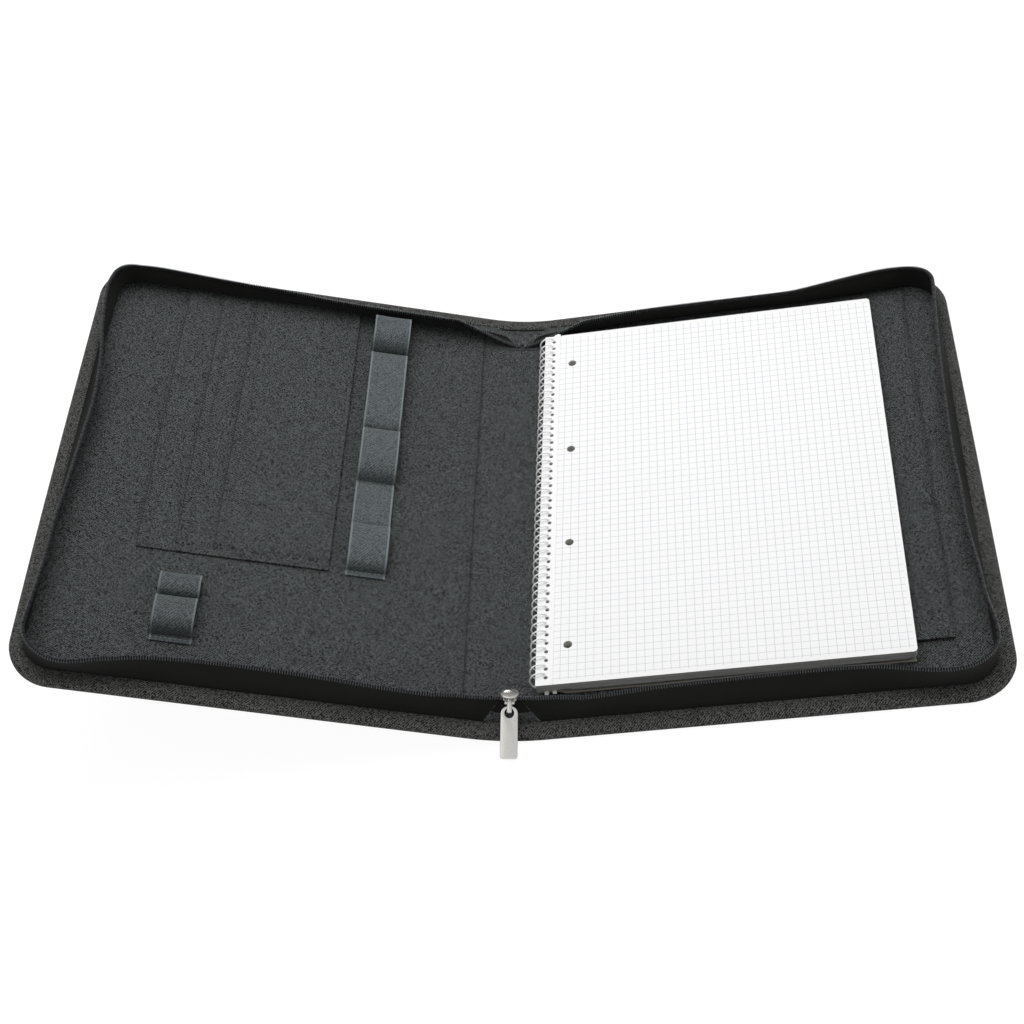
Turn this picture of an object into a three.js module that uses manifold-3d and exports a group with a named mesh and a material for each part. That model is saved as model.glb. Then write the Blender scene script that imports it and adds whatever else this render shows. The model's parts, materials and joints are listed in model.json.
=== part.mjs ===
// A zipped writing folder that stands open: the right cover lies flat and holds a spiral pad,
// a soft spine curves up from it, and the left cover, with pockets, a strap and loops, leans back.
// Millimetres, +Z up, +Y from the front edge to the back, origin under the middle of the whole.
//
// A point on the folder is given as (along, y, n): along runs from the right hinge line, negative
// over the right cover, then round the spine and out over the left cover; y runs from the front
// edge, and n stands up from the lining.
import * as THREE from 'three';
import { mergeVertices } from 'three/addons/utils/BufferGeometryUtils.js';
import Module from 'manifold-3d';

const wasm = await Module();
wasm.setup();

// Covers and spine
const cornerRadius = 29;
const spineWidth = 44;
const openTurn = THREE.MathUtils.degToRad(20.4);
const fabricThickness = 0.8;
const boardThickness = 1.8;
const paddingThickness = 0.7;
const fit = 0.3;
const hingeGap = 0.3;
const spineEndGap = 1.1;
const spineSteps = 8;
const flangeWidth = 9.2;

// Zip: two tapes, each with a chain of teeth along its top edge
const tapeThickness = 0.8;
const tapeRoot = 0.8;
const tapeReach = 18.2;
const teethWidth = 3;
const teethHeight = 1.9;
const teethBevel = 0.6;
const tapeWallStart = 24;
const gussetInset = 5;
const tapeEndInset = 17;
const tapeEndDrop = 2.05;
const tapeEndSteps = 6;
const backTipHalf = 5;
const frontGussetReach = 0.72;
const backGussetReach = 0.85;
const gussetRows = 5;
const endStopLength = 1.6;
const stationStep = 20;
const cornerSteps = 6;

// Slider and pull
const sliderSetback = 16.2;
const sliderLength = 8;
const sliderWidth = 12;
const sliderPlate = 1.6;
const sliderMouth = 4;
const sliderPost = 2.2;
const sliderPostSetback = 1;
const lowerPlateTrim = { width: 1, length: 2, setback: 1.2 };
const barStandOff = 0.7;
const barDrop = 0.9;
const earThickness = 0.9;
const earMargin = 0.2;
const linkWire = 1;
const linkBore = 1.35;
const linkCentres = 4;
const pullWidth = 10;
const pullLength = 29.5;
const pullThickness = 1.6;
const pullCorner = 1.5;
const pullHoleRadius = 2.2;
const pullEye = 1.3;
const pullSlope = THREE.MathUtils.degToRad(39);

// Pockets on the left cover: the mouths are measured from its far edge inwards
const pocketFabric = 0.6;
const documentMouthInset = 60.5;
const documentSeam = 91;
const documentFront = 107;
const slotStep = 22.8;
const slotFront = 112;

// Elastic strap on the left cover: its loops from the back to the front, each from one row of
// stitches to the next, and how high it stands between them
const strapThickness = 1;
const strapInner = 56.4;
const strapWidth = 24.2;
const strapBackInset = 22.5;
const strapRuns = [30.5, 74, 43.7, 37.3, 37.4];
const strapHeights = [14, 9, 12, 2.2, 9];
const strapHem = 3;
const strapAnchor = 1.5;
const sewnRun = 2.4;
const archSteps = 10;
const archSquareness = 3;

// Pen loops on the left cover
const penLoopInner = 164.2;
const penLoopWidth = 24.6;
const penLoopHem = 7;
const penLoopSeam = 2;
const penLoopFront = 38;
const penLoopRow = 68.7;
const penLoopBack = 87;
const lowerPenHeight = 16;
const upperPenHeight = 10;

// Pocket on the right cover that holds the pad's back card
const padPocketThickness = 0.8;
const padPocketInner = 26;
const padPocketOuterInset = 31;
const padPocketFront = 42;

// Spiral pad
const padLeft = -4;
const padWidth = 218.8;
const padFront = 28.2;
const padLength = 297;
const padBack = 28.8;
const padRight = 53.2;
const padCorner = 5;
const cardBendStart = 12;
const cardBendEnd = 18;
const cardTrim = 1;
const keelStart = 20.5;
const cardThickness = 0.8;
const cardLift = 3.4;
const sheetsTop = 9.6;
const topSheetThickness = 0.2;
const coilRadius = 5.2;
const coilWire = 1;
const coilPitch = 6.35;
const coilEndMargin = 5;
const coilInset = 1.3;
const coilHeight = 7;
const coilSteps = 8;
const coilSides = 5;
const punchStart = 2.2;
const punchLength = 4;
const punchWidth = 4;
const turningPunchWidth = 5.3;
const filingInset = 18.9;
const filingSpacing = 80;
const filingHoles = 4;
const filingRadius = 3;

// Sizes that follow from those
const coverWidth = padLeft + padWidth + padRight;
const coverLength = padFront + padLength + padBack;
const coverThickness = 2 * fabricThickness + boardThickness + paddingThickness + 3 * fit;
const spineRadius = spineWidth / openTurn;
const tapeInset = flangeWidth + fit + tapeThickness / 2;
const liningInset = tapeInset + tapeThickness / 2 + fit;
const teethLift = tapeReach + fit + teethHeight / 2;
const sliderTop = tapeRoot + teethLift - tapeEndDrop + sliderMouth / 2 + sliderPlate;
const coilTurns = Math.floor((padLength - 2 * coilEndMargin) / coilPitch) + 1;

const looks = {
  outerFabric: new THREE.MeshStandardMaterial({ color: '#4a4e50', roughness: 0.95, metalness: 0 }),
  lining: new THREE.MeshStandardMaterial({ color: '#4c5052', roughness: 0.95, metalness: 0 }),
  padding: new THREE.MeshStandardMaterial({ color: '#b9b9b4', roughness: 1, metalness: 0 }),
  board: new THREE.MeshStandardMaterial({ color: '#8d8674', roughness: 0.9, metalness: 0 }),
  tape: new THREE.MeshStandardMaterial({ color: '#17181a', roughness: 0.85, metalness: 0 }),
  teeth: new THREE.MeshStandardMaterial({ color: '#222325', roughness: 0.45, metalness: 0 }),
  elastic: new THREE.MeshStandardMaterial({ color: '#6d757b', roughness: 0.8, metalness: 0 }),
  loop: new THREE.MeshStandardMaterial({ color: '#3b4043', roughness: 0.9, metalness: 0 }),
  nickel: new THREE.MeshStandardMaterial({ color: '#c9c9c9', roughness: 0.25, metalness: 1 }),
  wire: new THREE.MeshStandardMaterial({ color: '#e4e4e6', roughness: 0.35, metalness: 0.4 }),
  card: new THREE.MeshStandardMaterial({ color: '#b8b2a6', roughness: 0.9, metalness: 0 }),
  paper: new THREE.MeshStandardMaterial({ color: '#f7f7f7', roughness: 0.85, metalness: 0 }),
};

const folder = new THREE.Group();

// A named piece of one material
function piece(parent, name, geometry, look) {
  const mesh = new THREE.Mesh(geometry, look);
  mesh.name = name;
  parent.add(mesh);
}

// Solid handling

function asManifold(geometry) {
  const bare = geometry.clone();
  bare.deleteAttribute('normal');
  bare.deleteAttribute('uv');
  const merged = mergeVertices(bare, 1e-4);
  const index = merged.index.array;
  return new wasm.Manifold(new wasm.Mesh({
    numProp: 3,
    vertProperties: new Float32Array(merged.attributes.position.array),
    triVerts: new Uint32Array(index),
  }));
}

function asGeometry(manifold) {
  const mesh = manifold.getMesh();
  const geometry = new THREE.BufferGeometry();
  geometry.setAttribute('position', new THREE.BufferAttribute(new Float32Array(mesh.vertProperties), 3));
  geometry.setIndex(new THREE.BufferAttribute(new Uint32Array(mesh.triVerts), 1));
  return geometry;
}

function join(...geometries) {
  return asGeometry(geometries.map(asManifold).reduce((whole, next) => whole.add(next)));
}

// A closed skin over rings of points, capped at both ends, with its faces turned outwards
function loft(rings) {
  const sides = rings[0].length;
  const points = rings.flat();
  const triangles = [];
  for (let r = 0; r + 1 < rings.length; r += 1) {
    for (let i = 0; i < sides; i += 1) {
      const a = r * sides + i;
      const b = r * sides + ((i + 1) % sides);
      triangles.push([a, b, b + sides], [a, b + sides, a + sides]);
    }
  }
  const last = (rings.length - 1) * sides;
  for (const [i, j, k] of capTriangles(rings[0])) {
    triangles.push([k, j, i]);
    triangles.push([last + i, last + j, last + k]);
  }
  let volume = 0;
  for (const [a, b, c] of triangles) {
    volume += points[a].dot(new THREE.Vector3().crossVectors(points[b], points[c]));
  }
  const ordered = volume > 0 ? triangles : triangles.map(([a, b, c]) => [a, c, b]);
  const geometry = new THREE.BufferGeometry();
  geometry.setAttribute('position', new THREE.Float32BufferAttribute(points.flatMap((p) => p.toArray()), 3));
  geometry.setIndex(ordered.flat());
  return geometry;
}

// Triangles of one flat ring, with the same turning sense as the ring itself
function capTriangles(ring) {
  const normal = new THREE.Vector3();
  ring.forEach((p, i) => normal.add(new THREE.Vector3().crossVectors(p, ring[(i + 1) % ring.length])));
  normal.normalize();
  const across = new THREE.Vector3().subVectors(ring[1], ring[0]).normalize();
  const up = new THREE.Vector3().crossVectors(normal, across);
  const flat = ring.map((p) => new THREE.Vector2(p.dot(across), p.dot(up)));
  return THREE.ShapeUtils.triangulateShape(flat, []);
}

// Flat shape, thickened from one height to another
function slab(shape, low, high) {
  const geometry = new THREE.ExtrudeGeometry(shape, {
    depth: high - low,
    bevelEnabled: false,
    curveSegments: cornerSteps,
  });
  return geometry.translate(0, 0, low);
}

// A (y, n) outline drawn out along x
function drawnAcross(shape, x0, x1) {
  const [low, high] = [Math.min(x0, x1), Math.max(x0, x1)];
  const geometry = new THREE.ExtrudeGeometry(shape, {
    depth: high - low,
    bevelEnabled: false,
    curveSegments: cornerSteps,
  });
  const turn = new THREE.Matrix4().makeBasis(
    new THREE.Vector3(0, 1, 0),
    new THREE.Vector3(0, 0, 1),
    new THREE.Vector3(1, 0, 0),
  );
  return geometry.applyMatrix4(turn).translate(low, 0, 0);
}

function rectangle(x0, y0, x1, y1) {
  return new THREE.Shape([
    new THREE.Vector2(x0, y0),
    new THREE.Vector2(x1, y0),
    new THREE.Vector2(x1, y1),
    new THREE.Vector2(x0, y1),
  ]);
}

// A strip of even thickness over a line of points, mitred at its bends
function ribbon(points, thickness) {
  const sides = [[], []];
  points.forEach((p, i) => {
    const before = points[Math.max(i - 1, 0)];
    const after = points[Math.min(i + 1, points.length - 1)];
    const into = new THREE.Vector2().subVectors(i ? p : after, i ? before : p).normalize();
    const outOf = new THREE.Vector2().subVectors(after, p).normalize();
    const way = (i + 1 < points.length ? into.clone().add(outOf) : into.clone()).normalize();
    const mitre = way.dot(into);
    const off = new THREE.Vector2(-way.y, way.x).multiplyScalar(thickness / 2 / mitre);
    sides[0].push(p.clone().add(off));
    sides[1].push(p.clone().sub(off));
  });
  return new THREE.Shape([...sides[0], ...sides[1].reverse()]);
}

// Places on the folder

function place(along, y, n) {
  const turned = THREE.MathUtils.clamp(along / spineRadius, 0, openTurn);
  const x = -spineRadius * Math.sin(turned);
  const z = coverThickness + spineRadius * (1 - Math.cos(turned));
  const past = along < 0 ? along : Math.max(along - spineWidth, 0);
  return new THREE.Vector3(
    x - past * Math.cos(turned) + n * Math.sin(turned),
    y,
    z + past * Math.sin(turned) + n * Math.cos(turned),
  );
}

// A group whose x runs to the right along the folder, whose y runs back and whose z stands up
function groupAt(along) {
  const group = new THREE.Group();
  group.position.copy(place(along, 0, 0));
  group.rotation.y = THREE.MathUtils.clamp(along / spineRadius, 0, openTurn);
  folder.add(group);
  return group;
}

const rightCover = groupAt(0);
const leftCover = groupAt(spineWidth);
const spineMiddle = groupAt(spineWidth / 2);

// Stations along a cover's three free edges: a point on the outline and the way inwards.
// side is 1 on the right cover and -1 on the left.
function edgeStations(side, start, step) {
  const far = coverWidth - cornerRadius;
  const back = coverLength - cornerRadius;
  const stations = [];
  const add = (x, y, inX, inY) => stations.push({ x: side * x, y, inX: side * inX, inY });
  const straight = (x0, y0, x1, y1, inX, inY) => {
    const steps = Math.max(1, Math.round(Math.hypot(x1 - x0, y1 - y0) / step));
    for (let i = 0; i <= steps; i += 1) {
      const t = i / steps;
      add(x0 + t * (x1 - x0), y0 + t * (y1 - y0), inX, inY);
    }
  };
  const corner = (x, y, from) => {
    for (let i = 1; i < cornerSteps; i += 1) {
      const angle = from + (Math.PI / 2) * (i / cornerSteps);
      const [c, s] = [Math.cos(angle), Math.sin(angle)];
      add(x + cornerRadius * c, y + cornerRadius * s, -c, -s);
    }
  };
  straight(start, 0, far, 0, 0, 1);
  corner(far, cornerRadius, -Math.PI / 2);
  straight(coverWidth, cornerRadius, coverWidth, back, -1, 0);
  corner(far, back, 0);
  straight(far, coverLength, start, coverLength, 0, -1);
  return stations;
}

function insetLine(side, start, inset) {
  return edgeStations(side, start, Infinity).map(
    (s) => new THREE.Vector2(s.x + s.inX * inset, s.y + s.inY * inset),
  );
}

function coverShape(side, inset) {
  return new THREE.Shape(insetLine(side, hingeGap, inset));
}

function bandShape(side, outer, inner) {
  return new THREE.Shape([
    ...insetLine(side, hingeGap, outer),
    ...insetLine(side, hingeGap, inner).reverse(),
  ]);
}

// Covers: the outer fabric wraps the edge and turns in over it as a flange

function buildCover(cover, side, word) {
  const bottom = -coverThickness;
  const boardLow = bottom + fabricThickness + fit;
  const paddingLow = boardLow + boardThickness + fit;
  const inside = fabricThickness + fit;
  piece(cover, `${word}_outer_shell`, join(
    slab(coverShape(side, 0), bottom, bottom + fabricThickness),
    slab(bandShape(side, 0, fabricThickness), bottom, 0),
    slab(bandShape(side, 0, flangeWidth), -fabricThickness, 0),
  ), looks.outerFabric);
  piece(cover, `${word}_board`,
    slab(coverShape(side, inside), boardLow, boardLow + boardThickness), looks.board);
  piece(cover, `${word}_padding`,
    slab(coverShape(side, inside), paddingLow, paddingLow + paddingThickness), looks.padding);
  piece(cover, `${word}_lining`,
    slab(coverShape(side, liningInset), -fabricThickness, 0), looks.lining);
}

// How far the tape leans inwards along its run, in degrees: most in the middle of each side,
// a little outwards at the corners, and more and more towards the spine at the back
const leanKnots = {
  right: [
    [0, 2], [0.18, 16], [0.3, -9], [0.35, 2], [0.5, 23], [0.64, 10], [0.7, 4], [0.82, 21], [1, 40],
  ],
  left: [
    [0, 9], [0.15, 18], [0.3, -14], [0.35, 3], [0.5, 22], [0.64, 0], [0.7, 8], [0.8, 32], [1, 42],
  ],
};

function leanAt(word, t) {
  const knots = leanKnots[word];
  const next = Math.max(1, knots.findIndex(([at]) => at >= t));
  const [[t0, a], [t1, b]] = [knots[next - 1], knots[next]];
  const k = THREE.MathUtils.smoothstep(t, t0, t1);
  return THREE.MathUtils.degToRad(THREE.MathUtils.lerp(a, b, k));
}

// The tape's section at one station: a short upright root, then a leaning wall
function tapeFrames(side, word) {
  const stations = edgeStations(side, tapeWallStart, stationStep);
  let run = 0;
  const runs = stations.map((s, i) => {
    run += i ? Math.hypot(s.x - stations[i - 1].x, s.y - stations[i - 1].y) : 0;
    return run;
  });
  return stations.map((s, i) => {
    const lean = leanAt(word, runs[i] / run);
    const inwards = new THREE.Vector3(s.inX, s.inY, 0);
    const foot = new THREE.Vector3(s.x, s.y, -fabricThickness).addScaledVector(inwards, tapeInset);
    const knee = foot.clone().setZ(tapeRoot);
    const rise = inwards.clone().multiplyScalar(Math.sin(lean)).setZ(Math.cos(lean));
    const through = inwards.clone().multiplyScalar(Math.cos(lean)).setZ(-Math.sin(lean));
    return { foot, knee, rise, through, inwards };
  });
}

function sheetRing(foot, knee, top, rootAcross, across) {
  const half = tapeThickness / 2;
  const off = (p, way, amount) => p.clone().addScaledVector(way, amount);
  return [
    off(foot, rootAcross, -half),
    off(knee, rootAcross, -half),
    off(top, across, -half),
    off(top, across, half),
    off(knee, rootAcross, half),
    off(foot, rootAcross, half),
  ];
}

function teethRing(centre, rise, through) {
  const [w, h] = [teethWidth / 2, teethHeight / 2];
  const [innerW, innerH] = [w * teethBevel, h * teethBevel];
  const corners = [[-w, -innerH], [-innerW, h], [innerW, h], [w, -innerH], [innerW, -h], [-innerW, -h]];
  return corners.map(([a, b]) => centre.clone().addScaledVector(through, a).addScaledVector(rise, b));
}

function buildZipSide(cover, side, word) {
  const frames = tapeFrames(side, word);
  piece(cover, `${word}_zip_tape`, loft(frames.map(({ foot, knee, rise, through, inwards }) => {
    const top = knee.clone().addScaledVector(rise, tapeReach);
    return sheetRing(foot, knee, top, inwards, through);
  })), looks.tape);
  piece(cover, `${word}_zip_teeth`, loft(frames.map(({ knee, rise, through }) => (
    teethRing(knee.clone().addScaledVector(rise, teethLift), rise, through)
  ))), looks.teeth);
  return { front: frames[0], back: frames[frames.length - 1] };
}

buildCover(rightCover, 1, 'right');
buildCover(leftCover, -1, 'left');
const zipEnds = {
  right: buildZipSide(rightCover, 1, 'right'),
  left: buildZipSide(leftCover, -1, 'left'),
};

// Spine: the same layers, bent to one arc

function spinePiece(section, endGap) {
  const rings = [];
  for (let i = 0; i <= spineSteps; i += 1) {
    const along = THREE.MathUtils.lerp(endGap, spineWidth - endGap, i / spineSteps);
    rings.push(section.map(([y, n]) => place(along, y, n)));
  }
  return loft(rings);
}

function boxSection(y0, n0, y1, n1) {
  return [[y0, n0], [y1, n0], [y1, n1], [y0, n1]];
}

function buildSpine() {
  const bottom = -coverThickness;
  const floor = bottom + fabricThickness;
  const turnIn = -fabricThickness;
  const back = coverLength;
  const section = [
    [0, bottom], [back, bottom], [back, 0], [back - flangeWidth, 0], [back - flangeWidth, turnIn],
    [back - fabricThickness, turnIn], [back - fabricThickness, floor], [fabricThickness, floor],
    [fabricThickness, turnIn], [flangeWidth, turnIn], [flangeWidth, 0], [0, 0],
  ];
  const inside = fabricThickness + fit;
  piece(folder, 'spine_outer_shell', spinePiece(section, spineEndGap), looks.outerFabric);
  piece(folder, 'spine_padding',
    spinePiece(boxSection(inside, floor + fit, back - inside, turnIn - fit), spineEndGap), looks.padding);
  piece(folder, 'spine_lining',
    spinePiece(boxSection(liningInset, turnIn, back - liningInset, 0), hingeGap), looks.lining);
}

buildSpine();

// Where the tape leaves a cover and crosses the spine, at the front up to the slider and at the
// back down to the lining. sense is 1 for the right cover's tape and -1 for the left's.

const sliderHalf = sliderWidth / 2 + fit;
const ends = {
  front: {
    y: tapeInset,
    inY: 1,
    gussetReach: frontGussetReach,
    tip: { fromMiddle: sliderHalf, inset: sliderSetback, n: tapeRoot + tapeReach - tapeEndDrop },
  },
  back: {
    y: coverLength - tapeInset,
    inY: -1,
    gussetReach: backGussetReach,
    tip: { fromMiddle: backTipHalf, inset: tapeInset + tapeEndInset, n: 2 * tapeRoot },
  },
};

function alongOf(sense, fromHinge) {
  return sense > 0 ? fromHinge : spineWidth - fromHinge;
}

// Points of one tape end: foot, knee and top, from the cover (t = 0) to the spine (t = 1)
function tapeEndLine(end, sense, lean, t) {
  const mix = THREE.MathUtils.lerp;
  const start = -(tapeWallStart - fit);
  const baseAlong = alongOf(sense, mix(start, gussetInset, t));
  const topAlong = alongOf(sense, mix(start, spineWidth / 2 - end.tip.fromMiddle, t));
  const wall = { inset: tapeInset + tapeReach * Math.sin(lean), n: tapeRoot + tapeReach * Math.cos(lean) };
  const inset = mix(wall.inset, end.tip.inset, t);
  const topY = end.y + end.inY * (inset - tapeInset);
  return {
    foot: [baseAlong, end.y, -fabricThickness],
    knee: [baseAlong, end.y, tapeRoot],
    top: [topAlong, topY, mix(wall.n, end.tip.n, t)],
  };
}

function buildTapeEnd(where, sense, word) {
  const end = ends[where];
  const { rise } = zipEnds[word][where];
  const lean = Math.acos(rise.z);
  const sheet = [];
  const chain = [];
  for (let i = 0; i <= tapeEndSteps; i += 1) {
    const line = tapeEndLine(end, sense, lean, i / tapeEndSteps);
    const [foot, knee, top] = [line.foot, line.knee, line.top].map((p) => place(...p));
    const across = new THREE.Vector3(0, end.inY, 0);
    const up = new THREE.Vector3().subVectors(top, knee).normalize();
    const along = new THREE.Vector3().subVectors(place(line.top[0] - sense, line.top[1], line.top[2]), top);
    const through = new THREE.Vector3().crossVectors(up, along).normalize();
    const facing = through.dot(across) < 0 ? through.negate() : through;
    sheet.push(sheetRing(foot, knee, top, across, facing));
    const crown = top.clone().addScaledVector(up, fit + teethHeight / 2);
    chain.push(teethRing(crown, up, facing));
  }
  piece(folder, `${where}_tape_end_${word}`, loft(sheet), looks.tape);
  piece(folder, `${where}_teeth_end_${word}`, loft(chain), looks.teeth);
}

for (const where of ['front', 'back']) {
  buildTapeEnd(where, 1, 'right');
  buildTapeEnd(where, -1, 'left');
}

// Gussets: a fabric triangle between the two tape ends, upright below the slider at the front
// and lying on the lining at the back

function buildGusset(where) {
  const end = ends[where];
  const clear = 2 * fit + tapeThickness;
  const rings = [];
  const half = fabricThickness / 2;
  for (let i = 0; i <= gussetRows; i += 1) {
    const t = (i / gussetRows) * end.gussetReach;
    const mix = (a, b) => THREE.MathUtils.lerp(a, b, t);
    const edge = mix(gussetInset, spineWidth / 2 - end.tip.fromMiddle) + clear;
    const y = end.y + end.inY * mix(0, end.tip.inset - tapeInset);
    const n = mix(tapeRoot, end.tip.n);
    const across = where === 'front' ? [half, 0] : [0, half];
    rings.push([
      place(edge, y - across[0], n - across[1]),
      place(spineWidth - edge, y - across[0], n - across[1]),
      place(spineWidth - edge, y + across[0], n + across[1]),
      place(edge, y + across[0], n + across[1]),
    ]);
  }
  piece(folder, `${where}_gusset`, loft(rings), looks.outerFabric);
}

buildGusset('front');
buildGusset('back');

// Moulded stops on the teeth's hidden ends at the back
function buildEndStops() {
  const { tip } = ends.back;
  for (const [sense, word] of [[1, 'right'], [-1, 'left']]) {
    const from = spineWidth / 2 - tip.fromMiddle + teethHeight;
    const y = coverLength - tip.inset;
    const rings = [from, from + endStopLength].map((at) => {
      const along = alongOf(sense, at);
      return boxSection(y - teethWidth / 2, fit, y + teethWidth / 2, fit + teethHeight)
        .map(([py, n]) => place(along, py, n));
    });
    piece(folder, `zip_end_stop_${word}`, loft(rings), looks.teeth);
  }
}

buildEndStops();

// Slider: two oval plates on a post, with two ears and a bar in front for the link

const sliderUnder = sliderTop - 2 * sliderPlate - sliderMouth;
const barBack = sliderSetback - sliderLength / 2 - barStandOff;
const barHeight = sliderUnder + sliderPlate + sliderMouth / 2 - barDrop;
const barRadius = linkBore - fit;

function oval(width, length, y) {
  const shape = new THREE.Shape();
  shape.absellipse(0, y, width / 2, length / 2, 0, 2 * Math.PI);
  return shape;
}

function buildSlider() {
  const earGap = linkWire / 2 + fit;
  const earRadius = barRadius + earMargin;
  const ear = new THREE.Shape();
  ear.moveTo(barBack, barHeight - earRadius);
  ear.lineTo(sliderSetback, barHeight - earRadius);
  ear.lineTo(sliderSetback, barHeight + earRadius);
  ear.lineTo(barBack, barHeight + earRadius);
  ear.absarc(barBack, barHeight, earRadius, Math.PI / 2, (3 * Math.PI) / 2, false);
  const bar = new THREE.CylinderGeometry(barRadius, barRadius, 2 * (earGap + earThickness), 16);
  bar.rotateZ(Math.PI / 2).translate(0, barBack, barHeight);
  const post = new THREE.CylinderGeometry(sliderPost, sliderPost, sliderMouth + sliderPlate, 16);
  post.rotateX(Math.PI / 2);
  post.translate(0, sliderSetback + sliderPostSetback, sliderTop - sliderPlate - sliderMouth / 2);
  const lower = oval(
    sliderWidth - lowerPlateTrim.width,
    sliderLength - lowerPlateTrim.length,
    sliderSetback + lowerPlateTrim.setback,
  );
  piece(spineMiddle, 'slider_body', join(
    slab(oval(sliderWidth, sliderLength, sliderSetback), sliderTop - sliderPlate, sliderTop),
    slab(lower, sliderUnder, sliderUnder + sliderPlate),
    post,
    drawnAcross(ear, earGap, earGap + earThickness),
    drawnAcross(ear, -earGap - earThickness, -earGap),
    bar,
  ), looks.nickel);
}

// The link and the pull share one slope: a group with y along the slope, away from the slider
const pullSlant = new THREE.Group();
pullSlant.position.set(0, barBack, barHeight);
pullSlant.rotation.x = Math.PI + pullSlope;
spineMiddle.add(pullSlant);

function buildLink() {
  const ring = (radius) => {
    const path = new THREE.Shape();
    path.absarc(0, 0, radius, Math.PI / 2, (3 * Math.PI) / 2, false);
    path.absarc(linkCentres, 0, radius, -Math.PI / 2, Math.PI / 2, false);
    return path;
  };
  const shape = ring(linkBore + linkWire);
  shape.holes.push(ring(linkBore));
  piece(pullSlant, 'pull_link', drawnAcross(shape, -linkWire / 2, linkWire / 2), looks.nickel);
}

function buildPull() {
  const shape = new THREE.Shape();
  const [half, r] = [pullWidth / 2, pullCorner];
  const [top, tip] = [linkCentres - pullEye / 2, linkCentres + pullLength];
  shape.moveTo(-half + r, top);
  shape.lineTo(half - r, top);
  shape.absarc(half - r, top + r, r, -Math.PI / 2, 0, false);
  shape.lineTo(half, tip - r);
  shape.absarc(half - r, tip - r, r, 0, Math.PI / 2, false);
  shape.lineTo(-half + r, tip);
  shape.absarc(-half + r, tip - r, r, Math.PI / 2, Math.PI, false);
  shape.lineTo(-half, top + r);
  shape.absarc(-half + r, top + r, r, Math.PI, 1.5 * Math.PI, false);
  const hole = new THREE.Path();
  hole.absarc(0, top + pullEye + pullHoleRadius, pullHoleRadius, 0, 2 * Math.PI, true);
  shape.holes.push(hole);
  piece(pullSlant, 'pull_tab', slab(shape, -pullThickness / 2, pullThickness / 2), looks.nickel);
}

buildSlider();
buildLink();
buildPull();

// Left cover: a document pocket that opens outwards, with two card slots sewn on it

function buildLeftPockets() {
  const back = coverLength - liningInset - teethWidth;
  const mouth = coverWidth - documentMouthInset;
  const layers = [
    ['document_pocket', mouth, documentFront],
    ['card_slot_outer', mouth - slotStep, slotFront],
    ['card_slot_inner', mouth - 2 * slotStep, slotFront],
  ];
  layers.forEach(([name, outer, front], level) => {
    const low = fit + level * (pocketFabric + fit);
    piece(leftCover, name,
      slab(rectangle(-outer, front, -documentSeam, back), low, low + pocketFabric), looks.lining);
  });
}

// A strap or loop that is sewn down at rows and stands up between them
function archedLine(rows, heights, thickness) {
  const base = fit + thickness / 2;
  const points = [];
  heights.forEach((height, k) => {
    const [y0, y1] = [rows[k] + sewnRun / 2, rows[k + 1] - sewnRun / 2];
    for (let i = 0; i <= archSteps; i += 1) {
      const a = Math.PI * (1 - i / archSteps);
      const across = Math.sign(Math.cos(a)) * Math.abs(Math.cos(a)) ** (2 / archSquareness);
      const up = Math.abs(Math.sin(a)) ** (2 / archSquareness);
      points.push(new THREE.Vector2((y0 + y1) / 2 + (across * (y1 - y0)) / 2, base + up * height));
    }
  });
  return points;
}

function buildStrap() {
  const rows = [coverLength - strapBackInset];
  strapRuns.forEach((run) => rows.unshift(rows[0] - run));
  const line = archedLine(rows, [...strapHeights].reverse(), strapThickness);
  const hem = new THREE.Vector2(rows[0] - strapHem, line[0].y);
  const anchor = new THREE.Vector2(rows[rows.length - 1] + strapAnchor, line[0].y);
  piece(leftCover, 'elastic_strap', drawnAcross(
    ribbon([hem, ...line, anchor], strapThickness),
    -strapInner,
    -strapInner - strapWidth,
  ), looks.elastic);
}

function buildPenLoops() {
  const lower = archedLine([penLoopFront, penLoopRow], [lowerPenHeight], fabricThickness);
  const upper = archedLine([penLoopRow, penLoopBack], [upperPenHeight], fabricThickness);
  const flat = (y) => new THREE.Vector2(y, lower[0].y);
  const loops = [
    ['lower_pen_loop', [flat(penLoopFront - penLoopHem), ...lower.map((p) => p.clone())]],
    ['upper_pen_loop', [...upper.map((p) => p.clone()), flat(penLoopBack + penLoopSeam)]],
  ];
  for (const [name, line] of loops) {
    piece(leftCover, name, drawnAcross(
      ribbon(line, fabricThickness),
      -penLoopInner,
      -penLoopInner - penLoopWidth,
    ), looks.loop);
  }
}

buildLeftPockets();
buildStrap();
buildPenLoops();

// Right cover: a wide pocket for the pad's back card

function buildPadPocket() {
  const low = 2 * fit + cardThickness;
  const [outer, back] = [coverWidth - padPocketOuterInset, coverLength - liningInset - teethWidth];
  piece(rightCover, 'pad_pocket',
    slab(rectangle(padPocketInner, padPocketFront, outer, back), low, low + padPocketThickness),
    looks.lining);
}

buildPadPocket();

// Spiral pad: a bent back card, the sheets, the top sheet and one coil through the punched holes

const coilAlong = padLeft + coilInset;
const punchFirst = padFront + (padLength - (coilTurns - 1) * coilPitch) / 2;

function punchHoles(width) {
  const holes = [];
  for (let k = 0; k < coilTurns; k += 1) {
    const y = punchFirst + k * coilPitch;
    const x = coilAlong + punchStart;
    holes.push(rectangle(x, y - width / 2, x + punchLength, y + width / 2));
  }
  return holes;
}

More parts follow.
